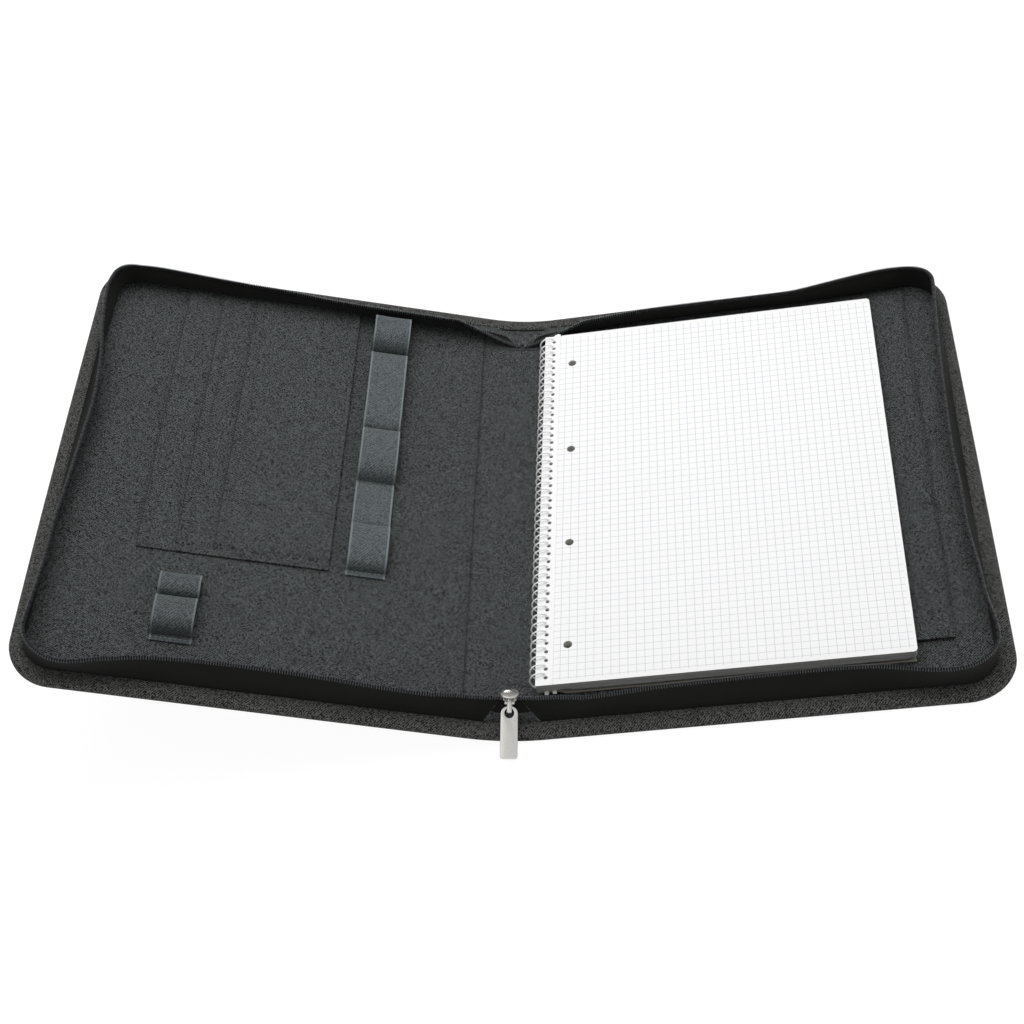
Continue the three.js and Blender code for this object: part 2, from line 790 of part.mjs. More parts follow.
function sheetShape(punchWide) {
  const [x0, y0, r] = [padLeft, padFront, padCorner];
  const [x1, y1] = [x0 + padWidth, y0 + padLength];
  const shape = new THREE.Shape();
  shape.moveTo(x0, y0);
  shape.lineTo(x1 - r, y0);
  shape.absarc(x1 - r, y0 + r, r, -Math.PI / 2, 0, false);
  shape.lineTo(x1, y1 - r);
  shape.absarc(x1 - r, y1 - r, r, 0, Math.PI / 2, false);
  shape.lineTo(x0, y1);
  shape.holes.push(...punchHoles(punchWide));
  for (let k = 0; k < filingHoles; k += 1) {
    const fromMiddle = (k - (filingHoles - 1) / 2) * filingSpacing;
    const hole = new THREE.Path();
    hole.absarc(x0 + filingInset, (y0 + y1) / 2 + fromMiddle, filingRadius, 0, 2 * Math.PI, true);
    shape.holes.push(hole);
  }
  return shape;
}

function buildPadCard() {
  const half = cardThickness / 2;
  const line = [
    [padLeft, cardLift + half],
    [padLeft + cardBendStart, cardLift + half],
    [padLeft + cardBendEnd, fit + half],
    [padLeft + padWidth - cardTrim, fit + half],
  ].map(([x, n]) => new THREE.Vector2(x, n));
  const profile = ribbon(line, cardThickness);
  const body = new THREE.ExtrudeGeometry(profile, { depth: padLength, bevelEnabled: false });
  body.rotateX(Math.PI / 2).translate(0, padFront + padLength, 0);
  const holes = punchHoles(punchWidth).map((hole) => asManifold(slab(hole, 0, sheetsTop)));
  const punched = holes.reduce((rest, hole) => rest.subtract(hole), asManifold(body));
  piece(rightCover, 'pad_back_card', asGeometry(punched), looks.card);
}

function buildPadSheets() {
  const low = cardLift + cardThickness + fit;
  const pocketTop = 2 * fit + cardThickness + padPocketThickness;
  const keel = rectangle(
    padLeft + keelStart,
    padFront,
    padLeft + padWidth - padCorner,
    padFront + padLength,
  );
  const filled = slab(keel, pocketTop + fit, low + fit);
  piece(rightCover, 'pad_sheets', join(slab(sheetShape(punchWidth), low, sheetsTop), filled), looks.paper);
  const topLow = sheetsTop + fit;
  piece(rightCover, 'pad_top_sheet',
    slab(sheetShape(turningPunchWidth), topLow, topLow + topSheetThickness), looks.paper);
}

// One unbroken wire that turns once for each hole and runs straight at both ends
function buildCoil() {
  const count = coilTurns * coilSteps;
  const centres = [];
  for (let i = 0; i <= count; i += 1) {
    const angle = -Math.PI / 2 + (i / coilSteps) * 2 * Math.PI;
    centres.push({
      at: new THREE.Vector3(
        coilAlong + coilRadius * Math.cos(angle),
        punchFirst + (i / coilSteps - 0.25) * coilPitch,
        coilHeight + coilRadius * Math.sin(angle),
      ),
      out: new THREE.Vector3(Math.cos(angle), 0, Math.sin(angle)),
    });
  }
  const endRun = (from, next) => {
    const way = new THREE.Vector3().subVectors(from.at, next.at).setY(0).normalize();
    return { at: from.at.clone().addScaledVector(way, coilWire), out: from.out.clone() };
  };
  centres.unshift(endRun(centres[0], centres[1]));
  centres.push(endRun(centres[count + 1], centres[count]));
  const rings = centres.map(({ at, out }, i) => {
    const before = centres[Math.max(i - 1, 0)].at;
    const after = centres[Math.min(i + 1, centres.length - 1)].at;
    const way = new THREE.Vector3().subVectors(after, before).normalize();
    const side = new THREE.Vector3().crossVectors(way, out).normalize();
    const ring = [];
    for (let k = 0; k < coilSides; k += 1) {
      const turn = (k / coilSides) * 2 * Math.PI;
      ring.push(at.clone()
        .addScaledVector(out, (coilWire / 2) * Math.cos(turn))
        .addScaledVector(side, (coilWire / 2) * Math.sin(turn)));
    }
    return ring;
  });
  let least = Infinity;
  centres.forEach((a, i) => centres.slice(i + coilSteps - 1, i + 2 * coilSteps).forEach((b) => {
    least = Math.min(least, a.at.distanceTo(b.at) - coilWire);
  }));
  console.log(`least gap between the coil's turns: ${least.toFixed(2)} mm`);
  piece(rightCover, 'pad_coil', loft(rings), looks.wire);
}

buildPadCard();
buildPadSheets();
buildCoil();

// The origin goes under the middle of the whole folder
folder.updateMatrixWorld(true);
const bounds = new THREE.Box3().setFromObject(folder, true);
folder.position.set(
  -(bounds.min.x + bounds.max.x) / 2,
  -(bounds.min.y + bounds.max.y) / 2,
  -bounds.min.z,
);

export default folder;
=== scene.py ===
"""Cloth, zip, pad and metal parts of an open zipped writing folder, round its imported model."""

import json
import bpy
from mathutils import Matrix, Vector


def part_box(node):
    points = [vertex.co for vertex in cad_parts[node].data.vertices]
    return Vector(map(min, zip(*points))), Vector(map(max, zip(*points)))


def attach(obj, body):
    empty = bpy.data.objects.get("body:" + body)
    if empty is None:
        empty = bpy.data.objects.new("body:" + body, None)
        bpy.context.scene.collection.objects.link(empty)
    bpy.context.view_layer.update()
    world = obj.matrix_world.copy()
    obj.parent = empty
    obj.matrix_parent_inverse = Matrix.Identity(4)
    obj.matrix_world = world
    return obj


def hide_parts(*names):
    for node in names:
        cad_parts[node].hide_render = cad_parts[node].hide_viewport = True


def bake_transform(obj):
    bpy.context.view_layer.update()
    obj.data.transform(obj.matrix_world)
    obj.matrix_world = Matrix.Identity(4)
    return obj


bl_info = {
    "name": "Writing folder",
    "version": (1, 0, 0),
    "blender": (4, 5, 0),
    "location": "3D View > Sidebar > Folder",
    "description": "Builds the cloth, the zip, the spiral pad and the metal parts of a writing folder",
    "category": "Object",
}

from math import acos, atan2, copysign, cos, exp, hypot, pi, radians, sin, sqrt

import bmesh
import bpy
from bpy.props import FloatProperty, FloatVectorProperty, IntProperty, PointerProperty
from mathutils import Euler, Matrix, Vector

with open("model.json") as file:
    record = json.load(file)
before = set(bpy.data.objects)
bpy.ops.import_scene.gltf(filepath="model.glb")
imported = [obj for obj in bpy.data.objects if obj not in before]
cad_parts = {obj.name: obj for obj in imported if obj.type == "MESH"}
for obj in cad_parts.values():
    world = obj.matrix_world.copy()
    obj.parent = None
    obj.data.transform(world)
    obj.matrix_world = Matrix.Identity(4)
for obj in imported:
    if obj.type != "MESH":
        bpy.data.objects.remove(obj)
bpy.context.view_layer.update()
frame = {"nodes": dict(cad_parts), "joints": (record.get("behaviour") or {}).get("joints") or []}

MM = 0.001
SIDES = ("right", "left")
JOINTS = {joint["name"]: joint for joint in frame["joints"]}
RIGHT_LINE = Vector(JOINTS["right_hinge"]["pos_m"])
LEFT_LINE = Vector(JOINTS["left_hinge"]["pos_m"])
CHORD = RIGHT_LINE - LEFT_LINE
OPEN_TURN = -2 * atan2(CHORD.z, CHORD.x)
SPINE_RADIUS = hypot(CHORD.x, CHORD.z) / 2 / sin(OPEN_TURN / 2)
SPINE = SPINE_RADIUS * OPEN_TURN / MM
SHELL_LOW, SHELL_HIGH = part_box("right_outer_shell")
FRONT = SHELL_LOW.y
WIDTH = (SHELL_HIGH.x - RIGHT_LINE.x) / MM
LENGTH = (SHELL_HIGH.y - SHELL_LOW.y) / MM
THICKNESS = (RIGHT_LINE.z - SHELL_LOW.z) / MM

# Layout in millimetres: u runs from a hinge line over its cover, y from the front edge to the
# back, and n up from the lining
CORNER = 29
TAPE_INSET = 9.9
LINING_INSET = 10.6
TAPE_START = 24
TAPE_ROOT = 0.8
TAPE_REACH = 18.2
TAPE_DROP = 4
TEETH_HEIGHT = 1.9
FIT = 0.3
# How far over the spine bent_at takes a piece's end at a hinge; the ends are not used
BEND = 7
GUSSET_INSET = 5
# shift moves the foot and the top of an end off the spine's middle, towards the right cover
FRONT_TIP = {
    "inset": 16.2, "from_middle": 6.3, "n": TAPE_ROOT + TAPE_REACH - TAPE_DROP, "shift": (3.3, 2),
    "ease": 0.7}
BACK_TIP = {
    "inset": TAPE_INSET + 17, "from_middle": 5, "n": 2 * TAPE_ROOT, "shift": (0, 0), "ease": 1}
POCKET_BACK = LENGTH - 13.6
DOCUMENT = {"mouth": WIDTH - 60.5, "seam": 91, "front": 107, "top": 0.9}
SLOT_STEP = 22.8
SLOT_FRONT = 112
LAYER = 0.9
# Thicknesses of cloth, in metres
LINING_CLOTH = 0.0006
PANEL_CLOTH = TAPE_CLOTH = 0.0007
HEM_CLOTH = 0.0004
STRAP = {"inner": 56.4, "width": 24.2, "hem": 3, "thickness": 1.0}
STRAP_HEIGHTS = [14, 9, 12, 2.2, 9]
STRAP_ROWS = [LENGTH - 22.5]
for strap_run in (30.5, 74, 43.7, 37.3, 37.4):
    STRAP_ROWS.insert(0, STRAP_ROWS[0] - strap_run)
SEWN_RUN = 2.4
PEN = {"inner": 164.2, "width": 24.6, "front": 42, "row": 68.7, "back": 87, "hem": 3.4}
PEN_HEIGHTS = {"lower": 11.5, "upper": 9}
PAD_POCKET = {"inner": 26, "outer": WIDTH - 31, "front": 42, "top": 2.2}
PAD_LEFT, PAD_WIDTH, PAD_FRONT, PAD_LENGTH, PAD_CORNER = -4, 218.8, 28.2, 297, 2.5
PAD_RIGHT, PAD_BACK = PAD_LEFT + PAD_WIDTH, PAD_FRONT + PAD_LENGTH
SHEETS = {"low": 4.5, "top": 9.6, "keel_low": 2.5, "keel_start": 16.5}
CARD = {"low": 0.3, "lift": 2.8, "thickness": 0.8, "bend": (8, 14)}
COIL = {"u": -2.7, "n": 7, "radius": 5.2, "wire": 1.0, "pitch": 6.35, "turns": 46}
FIRST_HOLE = PAD_FRONT + (PAD_LENGTH - (COIL["turns"] - 1) * COIL["pitch"]) / 2
FILING = {"u": 14.9, "spacing": 80, "radius": 2.7, "count": 4}
SLIDER = {
    "setback": 16.2, "top": 21.8, "width": 10.4, "length": 7, "plate": 1.6, "mouth": 4, "bar": 3,
    "ears": 2.4}
BAR = Vector((0, SLIDER["setback"] - 4.7, SLIDER["top"] - SLIDER["plate"] - SLIDER["mouth"] / 2 - 0.9))
LINK = {"wire": 1.0, "bore": 1.35, "centres": 4, "strip": 2.8, "flare": 1.4}
PULL = {
    "width": 10.1, "length": 28.1, "thickness": 1.6, "eye": 1.3, "hole": 2.7, "slope": 39,
    "rise": 1.45, "corners": (4.2, 4.2, 1.5, 1.5), "bevel": 0.45}

# Along the zip's run from the front to the back of a cover: how far its wall leans inwards, in
# degrees, and how far its lower half bellies out, in mm
LEANS = {
    "right": [
        (0, 6), (0.15, 15), (0.2, 12), (0.248, -9), (0.284, -3), (0.326, -3), (0.351, 6), (0.385, 12),
        (0.416, 19), (0.465, 20), (0.5, 23), (0.59, 17), (0.644, 10.5), (0.685, 4), (0.727, 10),
        (0.75, 9), (0.771, 14), (0.821, 31), (0.84, 34), (0.94, 33), (1, 42),
    ],
    "left": [
        (0, 9), (0.05, 7), (0.1, 12), (0.16, 12.5), (0.2, 5.5), (0.23, -9), (0.255, -21), (0.28, -9.5),
        (0.315, 2), (0.38, 11), (0.41, 11), (0.45, 16), (0.5, 22), (0.54, 25.5), (0.58, 20),
        (0.62, 5.5), (0.665, -3), (0.69, 9), (0.727, 23.5), (0.75, 23), (0.8, 29), (0.86, 35),
        (0.9, 41), (1, 44),
    ],
}
BELLIES = {
    "right": [(0, 0), (0.7, 0), (0.73, 1.7), (0.78, 5.2), (1, 5.2)],
    "left": [(0, 0), (0.5, 0), (0.58, 2.3), (0.65, 4), (0.72, 5.7), (1, 5.7)],
}
# How much narrower than its board's outline each cover's cloth is sewn, from front to back
TAPERS = {
    "right": [(0, 0), (40, 0), (340, 3.6), (354, 3.7)],
    "left": [(0, 3.2), (60, 2.4), (150, 1.8), (354, 2)],
}
HINGE_JOINS = {"right": ("right_cover", "spine"), "left": ("spine", "left_cover")}


def linear(code):
    """The linear colour that shaders take, from an sRGB hex value."""
    parts = [int(code[i:i + 2], 16) / 255 for i in (1, 3, 5)]
    return tuple(c / 12.92 if c <= 0.04045 else ((c + 0.055) / 1.055) ** 2.4 for c in parts)


class FolderSizes(bpy.types.PropertyGroup):
    """Sizes of the folder's make that someone may want to change."""

    cloth: FloatProperty(
        name="Cloth", description="Thickness of the covers' cloth", default=0.0008, unit="LENGTH")
    yarn: FloatProperty(
        name="Yarn", description="Width of the cloth's yarns", default=0.00042, unit="LENGTH")
    tooth_pitch: FloatProperty(
        name="Tooth pitch", description="Distance from tooth to tooth of the zip", default=0.0015,
        unit="LENGTH")
    stitch: FloatProperty(
        name="Stitch", description="Distance from stitch to stitch", default=0.0026, unit="LENGTH")
    thread: FloatProperty(
        name="Thread", description="Thickness of the sewing thread", default=0.0005, unit="LENGTH")
    grid: FloatProperty(
        name="Grid", description="Squares of the paper's grid", default=0.005, unit="LENGTH")
    coil_turns: IntProperty(
        name="Coil turns", description="Turns of the pad's wire", default=COIL["turns"])


class FolderColours(bpy.types.PropertyGroup):
    """Colours of the folder's finishes."""

    outer: FloatVectorProperty(
        name="Outer cloth", description="Light yarn of the outer cloth", subtype="COLOR",
        default=linear("#60605e"))
    lining: FloatVectorProperty(
        name="Lining", description="Light yarn of the lining cloth", subtype="COLOR",
        default=linear("#5a5e5e"))
    yarn: FloatVectorProperty(
        name="Dark yarn", description="Dark yarn of both cloths", subtype="COLOR",
        default=linear("#0c0d0d"))
    tape: FloatVectorProperty(
        name="Tape", description="Black tape of the zip", subtype="COLOR", default=linear("#141412"))
    elastic: FloatVectorProperty(
        name="Elastic", description="Elastic strap", subtype="COLOR", default=linear("#656c6e"))
    loop: FloatVectorProperty(
        name="Loops", description="Pen loops", subtype="COLOR", default=linear("#5e6466"))
    paper: FloatVectorProperty(
        name="Paper", description="Paper of the pad", subtype="COLOR", default=linear("#fbfbfb"))
    grid: FloatVectorProperty(
        name="Grid", description="Printed grid of the paper", subtype="COLOR",
        default=linear("#cbced3"))


# Places on the folder

def place(along, y, n):
    """A point along the folder from the right hinge line, round the spine and over the left cover."""
    turned = min(max(along * MM / SPINE_RADIUS, 0), OPEN_TURN)
    past = along if along < 0 else max(along - SPINE, 0)
    sine, cosine = sin(turned), cos(turned)
    x = RIGHT_LINE.x - SPINE_RADIUS * sine + MM * (n * sine - past * cosine)
    z = RIGHT_LINE.z + SPINE_RADIUS * (1 - cosine) + MM * (n * cosine + past * sine)
    return Vector((x, FRONT + MM * y, z))


def arc(side, u):
    return -u if side == "right" else SPINE + u


def on(side, u, y, n):
    """A point on one half of the folder: u is negative on the spine."""
    return place(arc(side, u), y, n)


def up_on(side, u):
    return (on(side, u, 0, 1) - on(side, u, 0, 0)).normalized()


def steps(start, end, size):
    count = max(1, round(abs(end - start) / size))
    return [start + (end - start) * i / count for i in range(count + 1)]


def smooth(t, low, high):
    k = min(max((t - low) / (high - low), 0), 1)
    return k * k * (3 - 2 * k)


def mix(a, b, t):
    return a + (b - a) * t


def through_knots(knots, t):
    """The value at t on a smooth curve through knots."""
    last = len(knots) - 2
    i = max([k for k in range(last + 1) if knots[k][0] <= t], default=0)
    (t0, a), (t1, b) = knots[i], knots[i + 1]
    before, after = knots[max(i - 1, 0)], knots[min(i + 2, last + 1)]
    rise = (b - before[1]) / (t1 - before[0]) * (t1 - t0)
    fall = (after[1] - a) / (after[0] - t0) * (t1 - t0)
    k = min(max((t - t0) / (t1 - t0), 0), 1)
    ease = k * k * (3 - 2 * k)
    return mix(a, b, ease) + k * (1 - k) ** 2 * rise - k * k * (1 - k) * fall


def outline(first, step=12, corner_steps=12):
    """Stations round a cover's three free edges, front to back: u, y and the way inwards."""
    far, back = WIDTH - CORNER, LENGTH - CORNER
    found = [(u, 0, 0, 1) for u in first + steps(first[-1], far, step)[1:]]
    for turn in range(1, corner_steps):
        a = -pi / 2 + pi / 2 * turn / corner_steps
        c, s = cos(a), sin(a)
        found.append((far + CORNER * c, CORNER + CORNER * s, -c, -s))
    side = [(WIDTH, y, -1, 0) for y in steps(CORNER, back, step)]
    mirrored = [(u, LENGTH - y, iu, -iy) for u, y, iu, iy in reversed(found)]
    return found + side + mirrored


# Meshes

def link(name, mesh):
    piece = bpy.data.objects.new(name, mesh)
    bpy.context.scene.collection.objects.link(piece)
    return piece


def mesh_of(name, points, edges=(), faces=()):
    mesh = bpy.data.meshes.new(name)
    mesh.from_pydata(points, edges, faces)
    return mesh


def settle(piece):
    """Makes the piece's modifiers part of its mesh."""
    graph = bpy.context.evaluated_depsgraph_get()
    mesh = bpy.data.meshes.new_from_object(
        piece.evaluated_get(graph), preserve_all_data_layers=True, depsgraph=graph)
    if piece.type != "MESH":
        name = piece.name
        bpy.data.objects.remove(piece)
        return link(name, mesh)
    piece.modifiers.clear()
    piece.data = mesh
    return piece


def shaded(piece, angle):
    piece.data.shade_smooth()
    piece.data.set_sharp_from_angle(angle=radians(angle))
    return piece


def cloth(name, rows, thickness, look, facing=(0, 0, 1), offset=-1.0, crisp=50, extra=()):
    """A sheet over rows of (point, flat place on the cloth in mm), facing the given way."""
    width = len(rows[0])
    flat = [corner for row in rows for corner in row]
    faces = [
        (a, a + 1, a + 1 + width, a + width)
        for r in range(len(rows) - 1)
        for a in range(r * width, r * width + width - 1)
    ]
    mesh = mesh_of(name, [point for point, _ in flat], faces=faces + list(extra))
    if sum((f.normal * f.area for f in mesh.polygons), Vector()).dot(Vector(facing)) < 0:
        mesh.flip_normals()
    weave = mesh.uv_layers.new(name="weave")
    for corner in mesh.loops:
        a, b = flat[corner.vertex_index][1]
        weave.data[corner.index].uv = (a * MM, b * MM)
    mesh.materials.append(finish(look))
    piece = link(name, mesh)
    wall = piece.modifiers.new("wall", "SOLIDIFY")
    wall.thickness = thickness
    wall.offset = offset
    return shaded(settle(piece), crisp)


def welded(piece):
    """Merges doubled points and turns all faces outwards."""
    shape = bmesh.new()
    shape.from_mesh(piece.data)
    bmesh.ops.remove_doubles(shape, verts=shape.verts, dist=1e-6)
    bmesh.ops.recalc_face_normals(shape, faces=shape.faces)
    shape.to_mesh(piece.data)
    shape.free()
    return piece


def ringed(name, rings):
    """A closed body through rings of points, with a lid at each end."""
    count = len(rings[0])
    last = (len(rings) - 1) * count
    faces = [
        (r + k, r + (k + 1) % count, r + count + (k + 1) % count, r + count + k)
        for r in range(0, last, count) for k in range(count)
    ]
    faces += [tuple(range(count)), tuple(range(last, last + count))]
    return welded(link(name, mesh_of(name, [p for ring in rings for p in ring], faces=faces)))


def oval(x, y, rx, ry, count, first=0.0):
    turns = [2 * pi * (k + first) / count for k in range(count)]
    return [(x + rx * cos(a), y + ry * sin(a)) for a in turns]


def rounded(x0, y0, x1, y1, radii):
    """A rectangle with its corners rounded, from the near left one round to the far left one."""
    corners = [(x0, y0, 1, 1, 180), (x1, y0, -1, 1, 270), (x1, y1, -1, -1, 0), (x0, y1, 1, -1, 90)]
    points = []
    for (x, y, inx, iny, first), r in zip(corners, radii):
        for k in range(7 if r else 1):
            a = radians(first + 15 * k)
            points.append((x + inx * r + r * cos(a), y + iny * r + r * sin(a)))
    return points


def curved(name, loops, **settings):
    """A piece made of closed curves through points in mm."""
    curve = bpy.data.curves.new(name, "CURVE")
    for key, value in settings.items():
        setattr(curve, key, value)
    for loop in loops:
        spline = curve.splines.new("POLY")
        spline.points.add(len(loop) - 1)
        for point, spot in zip(spline.points, loop):
            point.co = (*[c * MM for c in spot], 1)
        spline.use_cyclic_u = True
    return welded(settle(link(name, curve)))


def flat_solid(name, loops, thickness, bevel=0.0):
    """A plate cut to closed outlines in mm, with holes where one lies in another."""
    return curved(
        name, [[(x, y, 0) for x, y in loop] for loop in loops], dimensions="2D", fill_mode="BOTH",
        extrude=(thickness / 2 - bevel) * MM, bevel_depth=bevel * MM, bevel_resolution=2,
        offset=-bevel * MM)


def joined(name, pieces):
    shape = bmesh.new()
    for piece in pieces:
        shape.from_mesh(piece.data)
        bpy.data.objects.remove(piece)
    mesh = bpy.data.meshes.new(name)
    shape.to_mesh(mesh)
    shape.free()
    return link(name, mesh)


def settled_on(piece, body, slot, *nodes, look=None, angle=None):
    """Puts a finished piece on its body, with its finish if one is named, in place of its CAD nodes; slot
    is not used.
    """
    if look:
        piece.data.materials.append(finish(look))
    if angle:
        shaded(piece, angle)
    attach(piece, body)
    if nodes:
        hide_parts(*nodes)
    return piece


def bent_at(piece, side, on_cover, slot, *nodes):
    """Keeps a finished piece where it was built, with its place in its mesh, and hides its CAD nodes; its
    ends across one hinge are worked out but not used.
    """
    ends = [on(side, u, LENGTH / 2, 0) for u in (on_cover, -BEND)]
    if side == "left":
        ends.reverse()
    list(HINGE_JOINS[side])
    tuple(ends[0])
    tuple(ends[1])
    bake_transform(piece)
    if nodes:
        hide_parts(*nodes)


# Node trees

def add(tree, kind, inputs=None, **settings):
    """Adds a node with its settings, and with a value or a link for each input named."""
    made = tree.nodes.new(kind)
    for key, value in settings.items():
        setattr(made, key, value)
    for key, value in (inputs or {}).items():
        if isinstance(value, bpy.types.NodeSocket):
            tree.links.new(value, made.inputs[key])
        else:
            made.inputs[key].default_value = value
    return made


def out(tree, kind, inputs=None, which=0, **settings):
    return add(tree, kind, inputs, **settings).outputs[which]


def new_tree(name, sockets):
    tree = bpy.data.node_groups.new(name, "GeometryNodeTree")
    for label, kind in sockets.items():
        tree.interface.new_socket(label, in_out="INPUT", socket_type=f"NodeSocket{kind}")
    tree.interface.new_socket("Geometry", in_out="OUTPUT", socket_type="NodeSocketGeometry")
    return tree, add(tree, "NodeGroupInput").outputs


def ended(tree, geometry, look):
    real = out(tree, "GeometryNodeRealizeInstances", {"Geometry": geometry})
    done = out(tree, "GeometryNodeSetMaterial", {"Geometry": real, "Material": look})
    add(tree, "NodeGroupOutput", {"Geometry": done})
    return tree


def repeat_tree():
    """Shapes at an even spacing along paths, standing up along the paths' own rise."""
    tree, given = new_tree("Repeat along path", {
        "Path": "Geometry", "Shape": "Object", "Spacing": "Float", "Finish": "Material"})
    curve = out(tree, "GeometryNodeMeshToCurve", {"Mesh": given["Path"]})
    spaced = out(tree, "GeometryNodeResampleCurve", {
        "Curve": curve, "Length": given["Spacing"]}, mode="LENGTH")
    rise = out(tree, "GeometryNodeInputNamedAttribute", {"Name": "rise"}, data_type="FLOAT_VECTOR")
    turn = out(tree, "FunctionNodeAxesToRotation", {
        "Primary Axis": rise, "Secondary Axis": out(tree, "GeometryNodeInputTangent"),
    }, primary_axis="Z", secondary_axis="X")
    shape = out(tree, "GeometryNodeObjectInfo", {"Object": given["Shape"]}, "Geometry")
    copies = out(tree, "GeometryNodeInstanceOnPoints", {
        "Points": spaced, "Instance": shape, "Rotation": turn})
    return ended(tree, copies, given["Finish"])


def coil_tree():
    """One wire wound round and round at a steady pitch."""
    tree, given = new_tree("Wound wire", {
        "Turns": "Float", "Pitch": "Float", "Radius": "Float", "Wire": "Float", "Finish": "Material"})
    spiral = out(tree, "GeometryNodeCurveSpiral", {
        "Resolution": 28, "Rotations": given["Turns"], "Start Radius": given["Radius"],
        "End Radius": given["Radius"], "Reverse": True,
        "Height": maths(tree)("MULTIPLY", given["Turns"], given["Pitch"])})
    ring = out(tree, "GeometryNodeCurvePrimitiveCircle", {"Resolution": 10, "Radius": given["Wire"]})
    wire = out(tree, "GeometryNodeCurveToMesh", {
        "Curve": spiral, "Profile Curve": ring, "Fill Caps": True})
    return ended(tree, wire, given["Finish"])


def grow(piece, tree, values):
    """Runs a node tree on a piece and keeps the result as its mesh."""
    modifier = piece.modifiers.new(tree.name, "NODES")
    modifier.node_group = tree
    for item in tree.interface.items_tree:
        if item.in_out == "INPUT" and item.name in values:
            modifier[item.identifier] = values[item.name]
    return shaded(settle(piece), 60)


def along_paths(name, paths, shape, spacing, look):
    """Copies of a shape along paths, each a list of (point, rise)."""
    points, edges = [], []
    for path in paths:
        edges += [(len(points) + i, len(points) + i + 1) for i in range(len(path) - 1)]
        points += path
    mesh = mesh_of(name, [p for p, _ in points], edges)
    rise = mesh.attributes.new("rise", "FLOAT_VECTOR", "POINT")
    rise.data.foreach_set("vector", [c for _, r in points for c in r])
    tree = bpy.data.node_groups.get("Repeat along path") or repeat_tree()
    piece = grow(link(name, mesh), tree, {"Shape": shape, "Spacing": spacing, "Finish": finish(look)})
    bpy.data.objects.remove(shape)
    return piece


def bar(name, length, width, height, arch, across):
    """A small rounded bar, hung down at its ends: along x, or across the path along y."""
    rings = []
    for at, size in ((-1, 0.35), (-0.86, 0.85), (-0.4, 1), (0.4, 1), (0.86, 0.85), (1, 0.35)):
        run = at * length / 2
        ring = oval(0, -arch * at * at, size * width / 2, size * height / 2, 6, 0.5)
        rings.append([(side, run, rise) if across else (run, side, rise) for side, rise in ring])
    return ringed(name, rings)


# Finishes

def maths(tree):
    """A function that adds one step of arithmetic to the tree."""
    def calc(operation, a, b=0.0, c=0.0):
        return out(tree, "ShaderNodeMath", {0: a, 1: b, 2: c}, operation=operation)
    return calc


def finish_of(name, roughness, values):
    """A material with its shader, whose even values are set on the shader itself."""
    made = bpy.data.materials.new(name)
    made.use_nodes = True
    tree = made.node_tree
    tree.nodes.clear()
    shader = add(tree, "ShaderNodeBsdfPrincipled", {"Roughness": roughness, **values})
    add(tree, "ShaderNodeOutputMaterial", {"Surface": shader.outputs[0]})
    return made, tree, shader, maths(tree)


def surface(tree, shader, colour, height, strength, distance):
    """Gives a shader its colour and its fine relief."""
    tree.links.new(colour, shader.inputs["Base Color"])
    bump = out(tree, "ShaderNodeBump", {"Height": height, "Strength": strength, "Distance": distance})
    tree.links.new(bump, shader.inputs["Normal"])


def noise(tree, spot, scale, detail, **settings):
    values = {"Vector": spot, "Scale": scale, "Detail": detail}
    return add(tree, "ShaderNodeTexNoise", values, **settings).outputs


def pair(tree, x, y):
    return out(tree, "ShaderNodeCombineXYZ", {0: x, 1: y})


def parts_of(tree, vector):
    return add(tree, "ShaderNodeSeparateXYZ", {0: vector}).outputs


def blend_on(tree, factor, a, b):
    return out(tree, "ShaderNodeMix", {"Factor": factor, 2: a, 3: b})


def colour_on(tree, factor, a, b, **settings):
    values = {"Factor": factor, 6: a, 7: b}
    return out(tree, "ShaderNodeMix", values, 2, data_type="RGBA", **settings)


